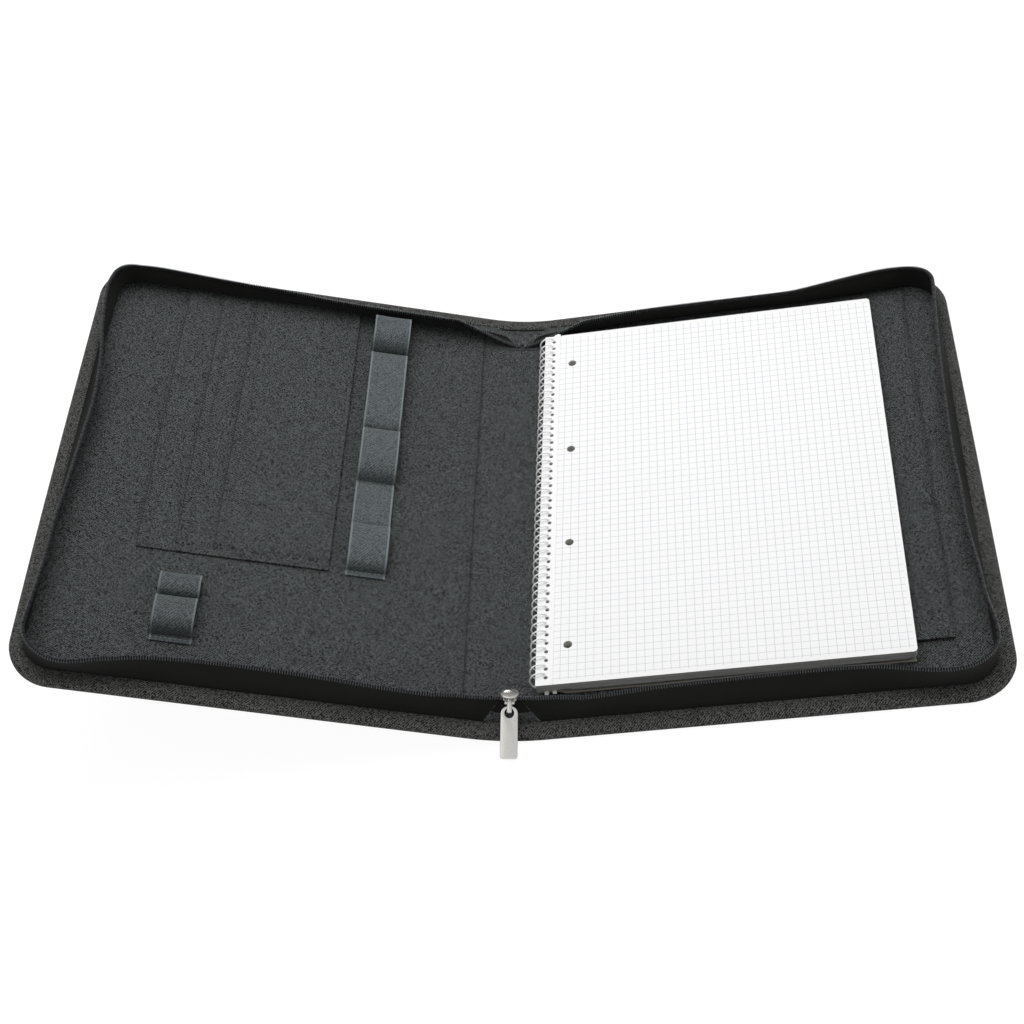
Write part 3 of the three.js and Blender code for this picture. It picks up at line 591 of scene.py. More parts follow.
def woven(name, dark, light, yarn, relief, sheen, lines=1.3, flecks=1.2, slubs=7.5, edge=None):
    """Twill of a dark and a light yarn, each as wide as yarn. lines, flecks and slubs say how much
    of the tone lies in the diagonal, in each crossing and along each yarn. edge is the width of a
    band that has lighter selvedges."""
    made, tree, shader, calc = finish_of(
        name, 0.92, {"Sheen Weight": sheen, "Sheen Roughness": 0.6, "Specular IOR Level": 0.25})
    weave = out(tree, "ShaderNodeUVMap", uv_map="weave")
    wander = noise(tree, weave, 40.0, 2.0)[1]
    drift = out(tree, "ShaderNodeVectorMath", {0: wander, 1: (0.0004, 0.0004, 0)}, operation="MULTIPLY")
    pulled = out(tree, "ShaderNodeVectorMath", {0: weave, 1: drift}, operation="ADD")
    parts = parts_of(tree, pulled)
    x, y = [calc("DIVIDE", parts[k], yarn) for k in (0, 1)]
    column, row = [calc("FLOOR", at) for at in (x, y)]
    # Two over, two under, one further along in each row: that draws the diagonal
    turn = calc("FRACT", calc("MULTIPLY", calc("ADD", column, row), 0.25))
    over = calc("LESS_THAN", turn, 0.5)
    slow, apart = 0.22, 5.37
    warp, weft = [
        noise(tree, pair(tree, calc("MULTIPLY", a, p), calc("MULTIPLY", b, q)), 1.0, 1.0,
              noise_dimensions="2D")[0]
        for a, p, b, q in ((column, apart, y, slow), (x, slow, row, apart))
    ]
    slub = calc("SUBTRACT", blend_on(tree, over, warp, weft), 0.5)
    cell = pair(tree, column, row)
    speck = out(tree, "ShaderNodeTexWhiteNoise", {"Vector": cell}, noise_dimensions="2D")
    tone = 0.5 - 0.5 * flecks - 0.5 * lines
    for part, share in ((slub, slubs), (speck, flecks), (over, lines)):
        tone = calc("MULTIPLY_ADD", part, share, tone)
    limit = out(tree, "ShaderNodeClamp", {0: tone})
    colour = colour_on(tree, limit, (*dark, 1), (*light, 1))
    if edge:
        off = calc("ABSOLUTE", calc("SUBTRACT", parts_of(tree, weave)[0], edge / 2))
        rim = calc("MULTIPLY", calc("GREATER_THAN", off, edge / 2 - 0.0011), 0.55)
        colour = colour_on(tree, rim, colour, (*[min(c * 1.9, 1) for c in light], 1))
    crowns = [calc("SINE", calc("MULTIPLY", calc("FRACT", at), pi)) for at in (x, y)]
    surface(tree, shader, colour, blend_on(tree, over, *crowns), 0.5, relief)
    return made


def even_finish(name, code, roughness, grain, relief, values):
    """A finish of one colour with a fine grain in its tone, its gloss and its surface."""
    made, tree, shader, calc = finish_of(name, roughness, values)
    spot = out(tree, "ShaderNodeTexCoord", which="Object")
    grained = noise(tree, spot, 1 / grain, 4.0)[0]
    tone = calc("MULTIPLY_ADD", grained, 0.3, 0.85)
    colour = colour_on(tree, 1.0, (*linear(code), 1), tone, blend_type="MULTIPLY")
    gloss = calc("MULTIPLY_ADD", grained, roughness * 0.5, roughness * 0.75)
    tree.links.new(gloss, shader.inputs["Roughness"])
    surface(tree, shader, colour, grained, 0.4, relief)
    return made


def squared_paper(name, colour, line, square):
    """Smooth white writing paper, printed with a pale grid of squares, and perforated."""
    made, tree, shader, calc = finish_of(name, 0.7, {"Specular IOR Level": 0.3})
    corner = on("right", PAD_LEFT, PAD_FRONT, 0)
    spot = out(tree, "ShaderNodeMapping", {
        "Vector": out(tree, "ShaderNodeTexCoord", which="Object"), "Location": (-corner.x, -corner.y, 0)})
    parts = parts_of(tree, spot)
    x, y = parts[0], parts[1]
    marks = []
    for at, shift in ((x, 0.0006), (y, 0.001)):
        cell = calc("FRACT", calc("DIVIDE", calc("ADD", at, shift), square))
        marks.append(calc("LESS_THAN", cell, LINE_WIDTH / square))
    drawn = calc("MAXIMUM", *marks)
    for at, low, high in ((x, PERFORATION - 0.0004, PAD_WIDTH * MM - 0.0015),
                          (y, 0.003, PAD_LENGTH * MM - 0.003)):
        drawn = calc("MULTIPLY", drawn, calc("GREATER_THAN", at, low))
        drawn = calc("MULTIPLY", drawn, calc("LESS_THAN", at, high))
    off = calc("ABSOLUTE", calc("SUBTRACT", x, PERFORATION))
    slits = calc("LESS_THAN", calc("FRACT", calc("DIVIDE", y, 0.0022)), 0.6)
    drawn = calc("MAXIMUM", drawn, calc("MULTIPLY", calc("LESS_THAN", off, 0.00013), slits))
    rise = parts_of(tree, out(tree, "ShaderNodeNewGeometry", which="Normal"))[2]
    drawn = calc("MULTIPLY", drawn, calc("GREATER_THAN", rise, 0.7))
    shade = colour_on(tree, drawn, (*colour, 1), (*line, 1))
    surface(tree, shader, shade, noise(tree, spot, 900.0, 3.0)[0], 0.15, 0.00005)
    return made


# Printed lines are 0.3 mm wide, a little wider than the real ones so that they show
LINE_WIDTH = 0.0003
PERFORATION = 0.0105
# Colour, roughness, size of the grain, depth of the relief and even values
EVEN = {
    # Moulded black nylon, smooth enough for a small real glint on each tooth; its base colour is lighter
    # than black, a painted highlight that stands in for brighter glints
    "nylon": ("#3e4144", 0.28, 0.002, 0.00003, {"Specular IOR Level": 0.7}),
    "thread": ("#17191a", 0.8, 0.001, 0.0001, {"Sheen Weight": 0.2}),
    "pale_thread": ("#7b8082", 0.8, 0.001, 0.0001, {"Sheen Weight": 0.2}),
    # Die-cast zinc with a bright nickel plate: a mirror with a faint polish grain
    "nickel": ("#d2d0cc", 0.22, 0.0004, 0.000008, {"Metallic": 1.0}),
    # Steel wire in a thin white plastic coat
    "coated_wire": ("#fafafa", 0.3, 0.004, 0.00002, {"Coat Weight": 0.4}),
    "grey_board": ("#b3aea2", 0.9, 0.0009, 0.0001, {}),
    "felt": ("#4a4a48", 0.95, 0.0015, 0.0003, {"Sheen Weight": 0.3}),
    # Paper of the pad stack's sides, grey rather than white: painted shade on edges that face away from the
    # light
    "plain_paper": ("#c9c9c6", 0.8, 0.0006, 0.00005, {"Specular IOR Level": 0.3}),
}
FINISHES = {}


def finish(name):
    """The named finish, made when it is first asked for."""
    if name in FINISHES:
        return FINISHES[name]
    sizes, colours = bpy.context.scene.folder_sizes, bpy.context.scene.folder_colours
    knitted = (0.0005, 0.0001, 0.08, 1.0, 1.0, 5.0)
    cloths = {
        # Polyester twill of mixed grey yarns: matt, with light flecks on charcoal
        "outer_cloth": (colours.yarn, colours.outer, sizes.yarn, 0.00015, 0.05),
        "lining_cloth": (colours.yarn, colours.lining, sizes.yarn, 0.00015, 0.05),
        # Narrow black polyester tape: flat and dull, with a fine rib
        "zip_tape": (colours.tape * 0.4, colours.tape, 0.00035, 0.0001, 0.02, 0.3, 0.3, 0.6),
        # Knitted elastic: soft blue grey, with pale firm edges
        "elastic": (colours.elastic * 0.35, colours.elastic, *knitted, STRAP["width"] * MM),
        "loop_elastic": (colours.loop * 0.35, colours.loop, *knitted, PEN["width"] * MM),
    }
    if name in cloths:
        FINISHES[name] = woven(name, *cloths[name])
    elif name == "paper":
        FINISHES[name] = squared_paper(name, colours.paper, colours.grid, sizes.grid)
    else:
        FINISHES[name] = even_finish(name, *EVEN[name])
    return FINISHES[name]


# Covers

NEAR_HINGE = [-SPINE / 2, -18, -14, -11, -8.5, -6, -4, -2, 0, 2, 4, 6, 8.5, 11, 14, 18, 24]
# Inset from the edge and height of the turned-in cloth, from under the tape round to the bottom
RIM = [
    (9.4, -0.5), (9.0, -0.05), (8.2, 0.16), (6.6, 0.26), (4.6, 0.26), (2.9, 0.1), (1.6, -0.3),
    (0.75, -0.95), (0.2, -1.75), (0, -2.5), (0.2, -3.3), (0.8, -4.1), (1.7, -4.7), (3, -5),
]


def with_spine(side, name):
    return [f"{side}_{name}"] + ([f"spine_{name}"] if side == "right" else [])


def build_outer_cloth(side):
    """The outer cloth of a cover and of its half of the spine, wrapped round the edge."""
    rows = []
    for i, (u, y, iu, iy) in enumerate(outline(NEAR_HINGE)):
        row, run, last = [], RIM[0][0], RIM[0]
        lifted = 0.5 * smooth(-u, -6, 0) if y > LENGTH / 2 else 0
        ripple = 0.12 * sin(0.9 * i) + 0.08 * sin(2.3 * i + 1)
        for inset, n in RIM:
            run -= hypot(inset - last[0], n - last[1])
            last = (inset, n)
            puff = ripple * exp(-((inset - 5) / 3) ** 2) if n > -0.6 else 0
            puff += lifted * smooth(inset, 4, 8)
            drawn_in = through_knots(TAPERS[side], y) * (1 - inset / RIM[0][0])
            point = on(side, u + iu * (inset + drawn_in), y + iy * inset, n * THICKNESS / 5 + puff)
            row.append((point, (arc(side, u + iu * run), y + iy * run)))
        rows.append(row)
    # Strips close the bottom over the bend, and one face closes it under the cover
    strips = len(NEAR_HINGE) - 1
    ends = range(len(RIM) - 1, len(rows) * len(RIM), len(RIM))
    extra = [(ends[i], ends[i + 1], ends[-2 - i], ends[-1 - i]) for i in range(strips)]
    extra.append(tuple(ends[strips:-strips]))
    skin = cloth(f"{side}_outer_cloth", rows, bpy.context.scene.folder_sizes.cloth, "outer_cloth",
                 facing=(0, 0, -1), crisp=60, extra=extra)
    bent_at(skin, side, BEND, "outer_fabric", *with_spine(side, "outer_shell"))


def build_lining(side):
    """The lining of a cover and of its half of the spine, smooth over thin padding."""
    corner, radius = WIDTH - CORNER, CORNER - LINING_INSET
    columns = sorted(NEAR_HINGE + [2.6, 3.2, 3.6, 4.4, 4.8]) + steps(24, corner, 8)[1:]
    columns += [corner + radius * sin(k * pi / 20) for k in range(1, 11)]
    rows = []
    for u in columns:
        past = min(max(u - corner, 0), radius)
        start = CORNER - sqrt(max(radius ** 2 - past ** 2, 0))
        row = []
        for k in range(45):
            y = mix(start, LENGTH - start, k / 44)
            swell = 0.10 * sin(u / 17 + y / 41) + 0.08 * sin(u / 29 - y / 23)
            if side == "left":
                swell -= 0.9 * exp(-((u - 3.6) / 0.7) ** 2)
            row.append((on(side, u, y, -0.12 + swell), (arc(side, u), y)))
        rows.append(row)
    skin = cloth(f"{side}_lining_cloth", rows, LINING_CLOTH, "lining_cloth")
    bent_at(skin, side, BEND, "lining_fabric", *with_spine(side, "lining"))


def build_layer(name, side, low, high, look, slot, node):
    """A flat layer inside a cover, a little smaller than its cloth, with softened edges."""
    rings = [
        [on(side, u + iu * (inset + through_knots(TAPERS[side], y)), y + iy * inset, n)
         for u, y, iu, iy in outline([1.2, 60], 60, 5)]
        for n, inset in ((high, 1.7), ((high + low) / 2, 1.4), (low, 1.7))
    ]
    return settled_on(ringed(name, rings), f"{side}_cover", slot, node, look=look, angle=40)


def build_inner_layers():
    """The grey board in each cover, and the felt over each board and in the spine."""
    levels = [(corner.z - RIGHT_LINE.z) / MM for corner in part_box("right_board")]
    for side in SIDES:
        build_layer(f"{side}_card_board", side, *levels, "grey_board", "board", f"{side}_board")
        felt = build_layer(
            f"{side}_felt", side, -1.8, -1.15, "felt", "padding_foam", f"{side}_padding")

    ys = steps(1.4, LENGTH - 1.4, 30)
    rows = [[(place(s, y, -1.2), (s, y)) for y in ys] for s in steps(1.4, SPINE - 1.4, 3)]
    felt = cloth("spine_felt", rows, 0.0025, "felt")
    settled_on(felt, "spine", "padding_foam", "spine_padding")


# Zip

def wall_frames(side):
    """The zip's wall all the way: foot, knee and top points, the way through it and its belly."""
    total = 2 * (WIDTH - CORNER - TAPE_START) + CORNER * pi + LENGTH - 2 * CORNER
    run, wall, last = 0.0, [], None
    for u, y, iu, iy in outline([TAPE_START], 5, 14):
        if last:
            run += hypot(u - last[0], y - last[1])
        last = (u, y)
        part = min(run / total, 1)
        lean = radians(through_knots(LEANS[side], part))
        reach = TAPE_REACH - 2.2 * (1 - smooth(part, 0, 0.07))
        up = up_on(side, u)
        base = on(side, u + iu * TAPE_INSET, y + iy * TAPE_INSET, 0)
        inwards = (on(side, u + iu, y + iy, 0) - on(side, u, y, 0)).normalized()
        belly = inwards * through_knots(BELLIES[side], part)
        knee = base + up * TAPE_ROOT * MM
        rise = inwards * sin(lean) + up * cos(lean)
        through = inwards * cos(lean) - up * sin(lean)
        wall.append((base - up * TAPE_ROOT * MM, knee, knee + rise * reach * MM, through, belly))
    front = end_frames(side, FRONT_TIP, TAPE_INSET, 1, wall[0])
    back = end_frames(side, BACK_TIP, LENGTH - TAPE_INSET, -1, wall[-1])
    return front[::-1] + wall + back


def end_frames(side, tip, y, inward, wall):
    """The wall's frames where it leaves the cover and runs over the spine to its tip."""
    lean = acos(min(1, (wall[2] - wall[1]).normalized().dot(up_on(side, TAPE_START))))
    feet, tops = [shift if side == "right" else -shift for shift in tip["shift"]]
    reach = (wall[2] - wall[1]).length / MM
    frames = []
    for t in steps(0, 1, 0.0625)[1:]:
        base = mix(TAPE_START, feet - GUSSET_INSET, t)
        top_u = mix(TAPE_START, tops - (SPINE / 2 - tip["from_middle"]), t)
        inset = mix(TAPE_INSET + reach * sin(lean), tip["inset"], t ** tip["ease"])
        n = mix(TAPE_ROOT + reach * cos(lean), tip["n"], t)
        foot, knee = on(side, base, y, -TAPE_ROOT), on(side, base, y, TAPE_ROOT)
        top = on(side, top_u, y + inward * (inset - TAPE_INSET), n)
        along = on(side, top_u - 1, y, 0) - on(side, top_u, y, 0)
        through = (top - knee).cross(along).normalized()
        if through.y * inward < 0:
            through = -through
        frames.append((foot, knee, top, through, wall[4] * (1 - t)))
    return frames


def build_zip(side):
    """The tape of one half of the zip in one piece, and the teeth along its top edge."""
    frames = wall_frames(side)
    crest, runs = [], [0.0]
    for i, (_, knee, top, _, _) in enumerate(frames):
        if i:
            runs.append(runs[-1] + (top - frames[i - 1][2]).length / MM)
        rise = (top - knee).normalized()
        crest.append((top + rise * (FIT + TEETH_HEIGHT / 2 + 0.15) * MM, rise))

    def across(i, heights, out):
        """One row over the wall at a frame, out mm from its middle towards the outside."""
        _, knee, top, through, belly = frames[i]
        bulge = 0.7 * sin(runs[i] / 31) + 0.35 * sin(runs[i] / 11 + 2)
        bulge *= smooth(i, 0, 18) * smooth(len(frames) - 1 - i, 0, 18)
        row = []
        for h in heights:
            at = min(h, 1)
            swing = through * (bulge * sin(pi * at) - out) + belly * sin(pi * at ** 0.6)
            row.append((knee.lerp(top, h) + swing * MM, (runs[i], h * TAPE_REACH)))
        return row

    heights = [0, 0.05, 0.13, 0.24, 0.38, 0.54, 0.7, 0.86, 1, 1.05]
    rows = [[(frame[0], (runs[i], -2))] + across(i, heights, 0) for i, frame in enumerate(frames)]
    tape = cloth(f"{side}_tape", rows, TAPE_CLOTH, "zip_tape", offset=0)
    bent_at(tape, side, 9, "zip_tape",
            f"{side}_zip_tape", f"front_tape_end_{side}", f"back_tape_end_{side}")
    # At the back the gusset's cloth runs on over the tape's end and narrows away from the spine
    rows = []
    for i in range(len(frames) - 16, len(frames)):
        widest = mix(0.5, 0.06, (len(frames) - 1 - i) / 15)
        rows.append(across(i, [0.03 + widest * k / 5 for k in range(6)], 0.65))
    facing = cloth(f"{side}_back_facing", rows, HEM_CLOTH, "lining_cloth", offset=0)
    bent_at(facing, side, 9, "outer_fabric")
    # The teeth take the lightened nylon, so their colour carries a painted highlight
    tooth = bar("tooth", 2.5 * MM, 0.75 * MM, 1.6 * MM, 1.5 * MM, across=True)
    teeth = along_paths(
        f"{side}_teeth", [crest], tooth, bpy.context.scene.folder_sizes.tooth_pitch, "nylon")
    bent_at(teeth, side, 9, "zip_teeth",
            f"{side}_zip_teeth", f"front_teeth_end_{side}", f"back_teeth_end_{side}")


def build_gussets():
    """The cloth between the tape ends: upright at the front, lying on the lining at the back. The
    front one ends in tape below the slider."""
    for name, tip, y0, inward, span, look, nodes in (
        ("front_gusset_cloth", FRONT_TIP, TAPE_INSET, 1, (0, 0.5), "lining_cloth", ["front_gusset"]),
        ("front_gusset_tape", FRONT_TIP, TAPE_INSET, 1, (0.44, 0.94), "zip_tape", []),
        ("back_gusset_cloth", BACK_TIP, LENGTH - TAPE_INSET, -1, (0, 0.9), "lining_cloth", ["back_gusset"]),
    ):
        rows, front = [], inward == 1
        for t in steps(*span, 0.1):
            edge = mix(GUSSET_INSET, SPINE / 2 - tip["from_middle"], t) + (1.1 if nodes else 0.1)
            y = y0 + inward * mix(0 if front else 1.4, tip["inset"] - TAPE_INSET, t)
            n = mix(TAPE_ROOT - (0.6 if front else 1.5), tip["n"], t)
            off = mix(*tip["shift"], t)
            row = []
            for s in steps(edge, SPINE - edge, max((SPINE - 2 * edge) / 10, 0.1)):
                k = (s - edge) / (SPINE - 2 * edge)
                sag = 1.1 * sin(pi * k) * sin(pi * min(t, 1))
                sags = (-inward * sag, 0) if front else (0, -0.3 * sag)
                row.append((place(s - off, y + sags[0], n + sags[1]), (s, y + n)))
            rows.append(row)
        gusset = cloth(name, rows, LINING_CLOTH, look, facing=(0, -1, 0.2) if front else (0, 0, 1))
        settled_on(gusset, "spine", "outer_fabric", *nodes)


# Slider and pull

def spun(name, profile, centre=(0, 0, 0), squash=1.0, count=28):
    """A round body from a (radius, height) profile in mm, made oval by squash."""
    x, y, z = centre
    return ringed(name, [
        [(a * MM, b * MM, (z + height) * MM) for a, b in oval(x, y, r, r * squash, count)]
        for r, height in profile
    ])


def rod(name, start, end, radius):
    """A straight round rod with softened ends, in mm."""
    a, b = Vector(start), Vector(end)
    long, soft = (b - a).length, radius * 0.3
    piece = spun(name, [(radius * 0.7, 0), (radius, soft), (radius, long - soft), (radius * 0.7, long)],
                 count=16)
    turn = (b - a).to_track_quat("Z", "Y").to_matrix().to_4x4()
    piece.data.transform(Matrix.Translation(a * MM) @ turn)
    return piece


def slider_place():
    """The frame of the slider: over the middle of the spine, turned with it."""
    middle = Matrix.Translation(place(SPINE / 2, 0, 0)) @ Matrix.Rotation(OPEN_TURN / 2, 4, "Y")
    return middle @ Matrix.Translation((FRONT_TIP["shift"][1] * MM, 0, 0))


def build_slider():
    """The slider: a domed oval plate on a post over a lower plate, with two ears and a bar."""
    setback, top, plate = SLIDER["setback"], SLIDER["top"], SLIDER["plate"]
    under, reach = top - 2 * plate - SLIDER["mouth"], SLIDER["bar"]
    half, squash = SLIDER["width"] / 2, SLIDER["length"] / SLIDER["width"]
    dome = [(half * 0.9, -plate), (half, -plate * 0.72), (half, -plate * 0.55), (half * 0.9, -plate * 0.3),
            (half * 0.6, -0.12), (half * 0.25, 0)]
    low = [(half * 0.8, 0), (half * 0.92, plate * 0.3), (half * 0.92, plate * 0.7), (half * 0.8, plate)]
    parts = [
        spun("top", dome, (0, setback, top - 1), squash),
        spun("lower", low, (0, setback + 1.2, under - 1.2), squash),
        rod("post", (0, setback + 1, under - 0.7), (0, setback + 1, top - 1.6), 2.2),
        rod("bar", (-reach, BAR.y, BAR.z), (reach, BAR.y, BAR.z), LINK["bore"] - FIT),
    ]
    for x in (-SLIDER["ears"], SLIDER["ears"]):
        parts.append(rod("ear", (x, BAR.y, BAR.z), (x, setback, BAR.z + 0.4), 0.75))
    slider = joined("slider", parts)
    slider.data.transform(slider_place())
    settled_on(slider, "spine", "nickel", "slider_body", look="nickel", angle=35)
    # The end stops take the same lightened nylon, with its painted highlight
    for side in SIDES:
        stop = frame["nodes"][f"zip_end_stop_{side}"]
        stop.data.materials.clear()
        stop.data.materials.append(finish("nylon"))


def build_pull():
    """The wire link in the slider's bar, and the flat pull with its round hole, left bare."""
    slope = Matrix.Rotation(pi + radians(PULL["slope"]), 4, "X")
    pull_place = slider_place() @ Matrix.Translation(BAR * MM) @ slope
    radius = LINK["bore"] + LINK["wire"] / 2
    turns = [(radius * cos(a), radius * sin(a)) for a in
             (pi / 2 + pi * k / 12 for k in range(13))]
    path = turns + [(-y + LINK["centres"], -LINK["flare"] * x) for y, x in turns]
    wire = curved("link_wire", [[(0, y, z) for y, z in path]], dimensions="3D",
                  bevel_depth=LINK["wire"] / 2 * MM, bevel_resolution=3)
    # The link is a flat strip, wider than it is thick
    wire.data.transform(pull_place @ Matrix.Diagonal((LINK["strip"], 1, 1, 1)))
    settled_on(wire, "pull_link", "nickel", "pull_link", look="nickel", angle=60)
    top = LINK["centres"] - PULL["eye"] / 2 - PULL["rise"]
    half, hole = PULL["width"] / 2, PULL["hole"]
    plate = flat_solid("pull_plate", [
        rounded(-half, top, half, LINK["centres"] + PULL["length"], PULL["corners"]),
        oval(0, top + PULL["eye"] + hole, hole, hole, 28)], PULL["thickness"], PULL["bevel"])
    plate.data.transform(pull_place)
    settled_on(plate, "pull_tab", "nickel", "pull_tab", look="nickel", angle=30)


# Pockets, strap and loops

def panel(name, side, u0, u1, y0, height, node):
    """A cloth panel that runs back to under the tape: height gives its n at a place."""
    ys = steps(y0, y0 + 12, 0.8) + steps(y0 + 12, POCKET_BACK, 6)[1:]
    rows = [[(on(side, u, y, height(u, y)), (u, y)) for y in ys] for u in steps(u0, u1, 1.5)]
    made = cloth(name, rows, PANEL_CLOTH, "lining_cloth")
    settled_on(made, f"{side}_cover", "lining_fabric", node)


def sewn_down(n, y, low):
    """A panel's height, brought down to its seam under the tape at the back."""
    return mix(n, low, smooth(y, POCKET_BACK - 9, POCKET_BACK - 1))


def left_panel(k):
    """The mouth, the front edge and the height of the document pocket or of a card slot on it."""
    mouth = DOCUMENT["mouth"] - k * SLOT_STEP
    front = SLOT_FRONT if k else DOCUMENT["front"]
    top = DOCUMENT["top"] + k * LAYER

    def height(u, y):
        hem = 0.45 * smooth(u, mouth - 8, mouth - 7.4)
        if k:
            sewn = 1 - smooth(y, front, front + 4)
        else:
            hem = max(hem, 0.45 * (1 - smooth(y, front + 4.6, front + 5.2)))
            sewn = 0
        ends = max(sin(pi * (y - front) / (POCKET_BACK - front)), 0) ** 0.5
        gape = ends * (1.8 * smooth(u, 130, 207) + 1.4 * smooth(u, mouth - 12, mouth))
        n = top + hem + gape - sewn * (top - DOCUMENT["top"] - 0.25 + hem)
        return sewn_down(n, y, 0.7 + 0.2 * k)
    return mouth, front, height


def build_left_pockets():
    """The document pocket and the two card slots sewn on it, each with a hem at its mouth."""
    for k, (name, node) in enumerate((
        ("document_panel", "document_pocket"), ("outer_slot_panel", "card_slot_outer"),
        ("inner_slot_panel", "card_slot_inner"))):
        mouth, front, height = left_panel(k)
        panel(name, "left", DOCUMENT["seam"], mouth, front, height, node)


def build_pad_pocket():
    """The wide pocket on the right cover that the pad's back card goes into."""
    outer, front = PAD_POCKET["outer"], PAD_POCKET["front"]

    def height(u, y):
        hem = 0.5 * (1 - smooth(y, front + 7.6, front + 8.2))
        ridge = 0.6 * exp(-((u - outer + 1.5) / 1.1) ** 2)
        n = PAD_POCKET["top"] - 0.2 + hem - 1.5 * smooth(u, outer - 3, outer) + ridge
        return sewn_down(n, y, 0.7)
    panel("pad_pocket_panel", "right", PAD_POCKET["inner"], outer, front, height, "pad_pocket")


def arches(rows, heights, thickness):
    """A line that is sewn down at rows and stands up between them, as (y, n)."""
    base = FIT + thickness / 2
    points = []
    for height, y0, y1 in zip(heights, rows, rows[1:]):
        y0, y1 = y0 + SEWN_RUN / 2, y1 - SEWN_RUN / 2
        for k in range(25):
            a = pi * (1 - k / 24)
            across = copysign(abs(cos(a)) ** (2 / 3), cos(a))
            up = sin(a) ** (2 / 3) if 0 < k < 24 else 0
            points.append(((y0 + y1) / 2 + across * (y1 - y0) / 2, base + up * height))
    return points


def band(name, line, size, thickness, look, slot, node):
    """A flat band over the left cover along a (y, n) line, a little hollow across."""
    run, rows, last = 0.0, [], line[0]
    for y, n in line:
        run += hypot(y - last[0], n - last[1])
        last = (y, n)
        row = []
        for k in range(9):
            across = k / 8 * size["width"]
            dish = 0.35 * (k / 4 - 1) ** 2 * min(n / 6, 1)
            row.append((on("left", size["inner"] + across, y, n + dish), (across, run)))
        rows.append(row)
    facing = up_on("left", size["inner"])
    made = cloth(name, rows, thickness * MM, look, facing, offset=0, crisp=70)
    settled_on(made, "left_cover", slot, node)


def build_strap():
    """The elastic strap with its five standing loops."""
    line = arches(STRAP_ROWS, STRAP_HEIGHTS[::-1], STRAP["thickness"])
    base = line[0][1]
    line = [(STRAP_ROWS[0] - STRAP["hem"], base)] + line + [(STRAP_ROWS[-1] + 1.5, base)]
    band("strap_band", line, STRAP, STRAP["thickness"] * 0.8, "elastic", "elastic", "elastic_strap")


def build_pen_loops():
    """The two pen loops, with the flat hem in front of them."""
    lower = arches([PEN["front"], PEN["row"]], [PEN_HEIGHTS["lower"]], 0.8)
    upper = arches([PEN["row"], PEN["back"]], [PEN_HEIGHTS["upper"]], 0.8)
    base = lower[0][1]
    for name, line in (("lower", [(PEN["front"] - PEN["hem"], base)] + lower),
                       ("upper", upper + [(PEN["back"] + 2, base)])):
        band(f"{name}_loop_band", line, PEN, 0.7, "loop_elastic", "loop_fabric", f"{name}_pen_loop")


def ridge_strip(name, body, place_of, width, height):
    """A narrow folded edge: place_of gives the place at a distance across, along and up."""
    rows = []
    for t in steps(0, 1, 0.02):
        row = []
        for across in (-1, -0.97, -0.85, -0.5, 0, 0.5, 0.8, 0.92, 1):
            up = height * (1 - abs(across) ** (12 if across < 0 else 4))
            row.append((place_of(across * width / 2, t, up), (across * width / 2, t * LENGTH)))
        rows.append(row)
    settled_on(cloth(name, rows, HEM_CLOTH, "lining_cloth"), body, "lining_fabric")


def build_hems():
    """The folded edge of the left lining beside the spine, and the one across the spine's back."""
    back_y = LENGTH - TAPE_INSET - 18
    ridge_strip("left_lining_hem", "left_cover",
                lambda a, t, n: on("left", 8.1 + a, mix(15, LENGTH - 24, t), n), 7.8, 1.0)
    ridge_strip("spine_back_hem", "spine",
                lambda a, t, n: place(mix(5, SPINE - 5, t), back_y + a, n), 4.5, 0.5)


def stitch_path(u0, y0, u1, y1, n, side="left"):
    count = max(2, round(hypot(u1 - u0, y1 - y0) / 20))
    spots = [(mix(u0, u1, k / count), mix(y0, y1, k / count)) for k in range(count + 1)]
    return [(on(side, u, y, n), up_on(side, u)) for u, y in spots]


def sew(name, paths, body="left_cover", slot="lining_fabric", thread="thread", length=1.8, width=1.0):
    sizes = bpy.context.scene.folder_sizes
    stitch = bar("stitch", length * MM, sizes.thread * width, sizes.thread * 0.8, 0.00018, across=False)
    settled_on(along_paths(name, paths, stitch, sizes.stitch, thread), body, slot)


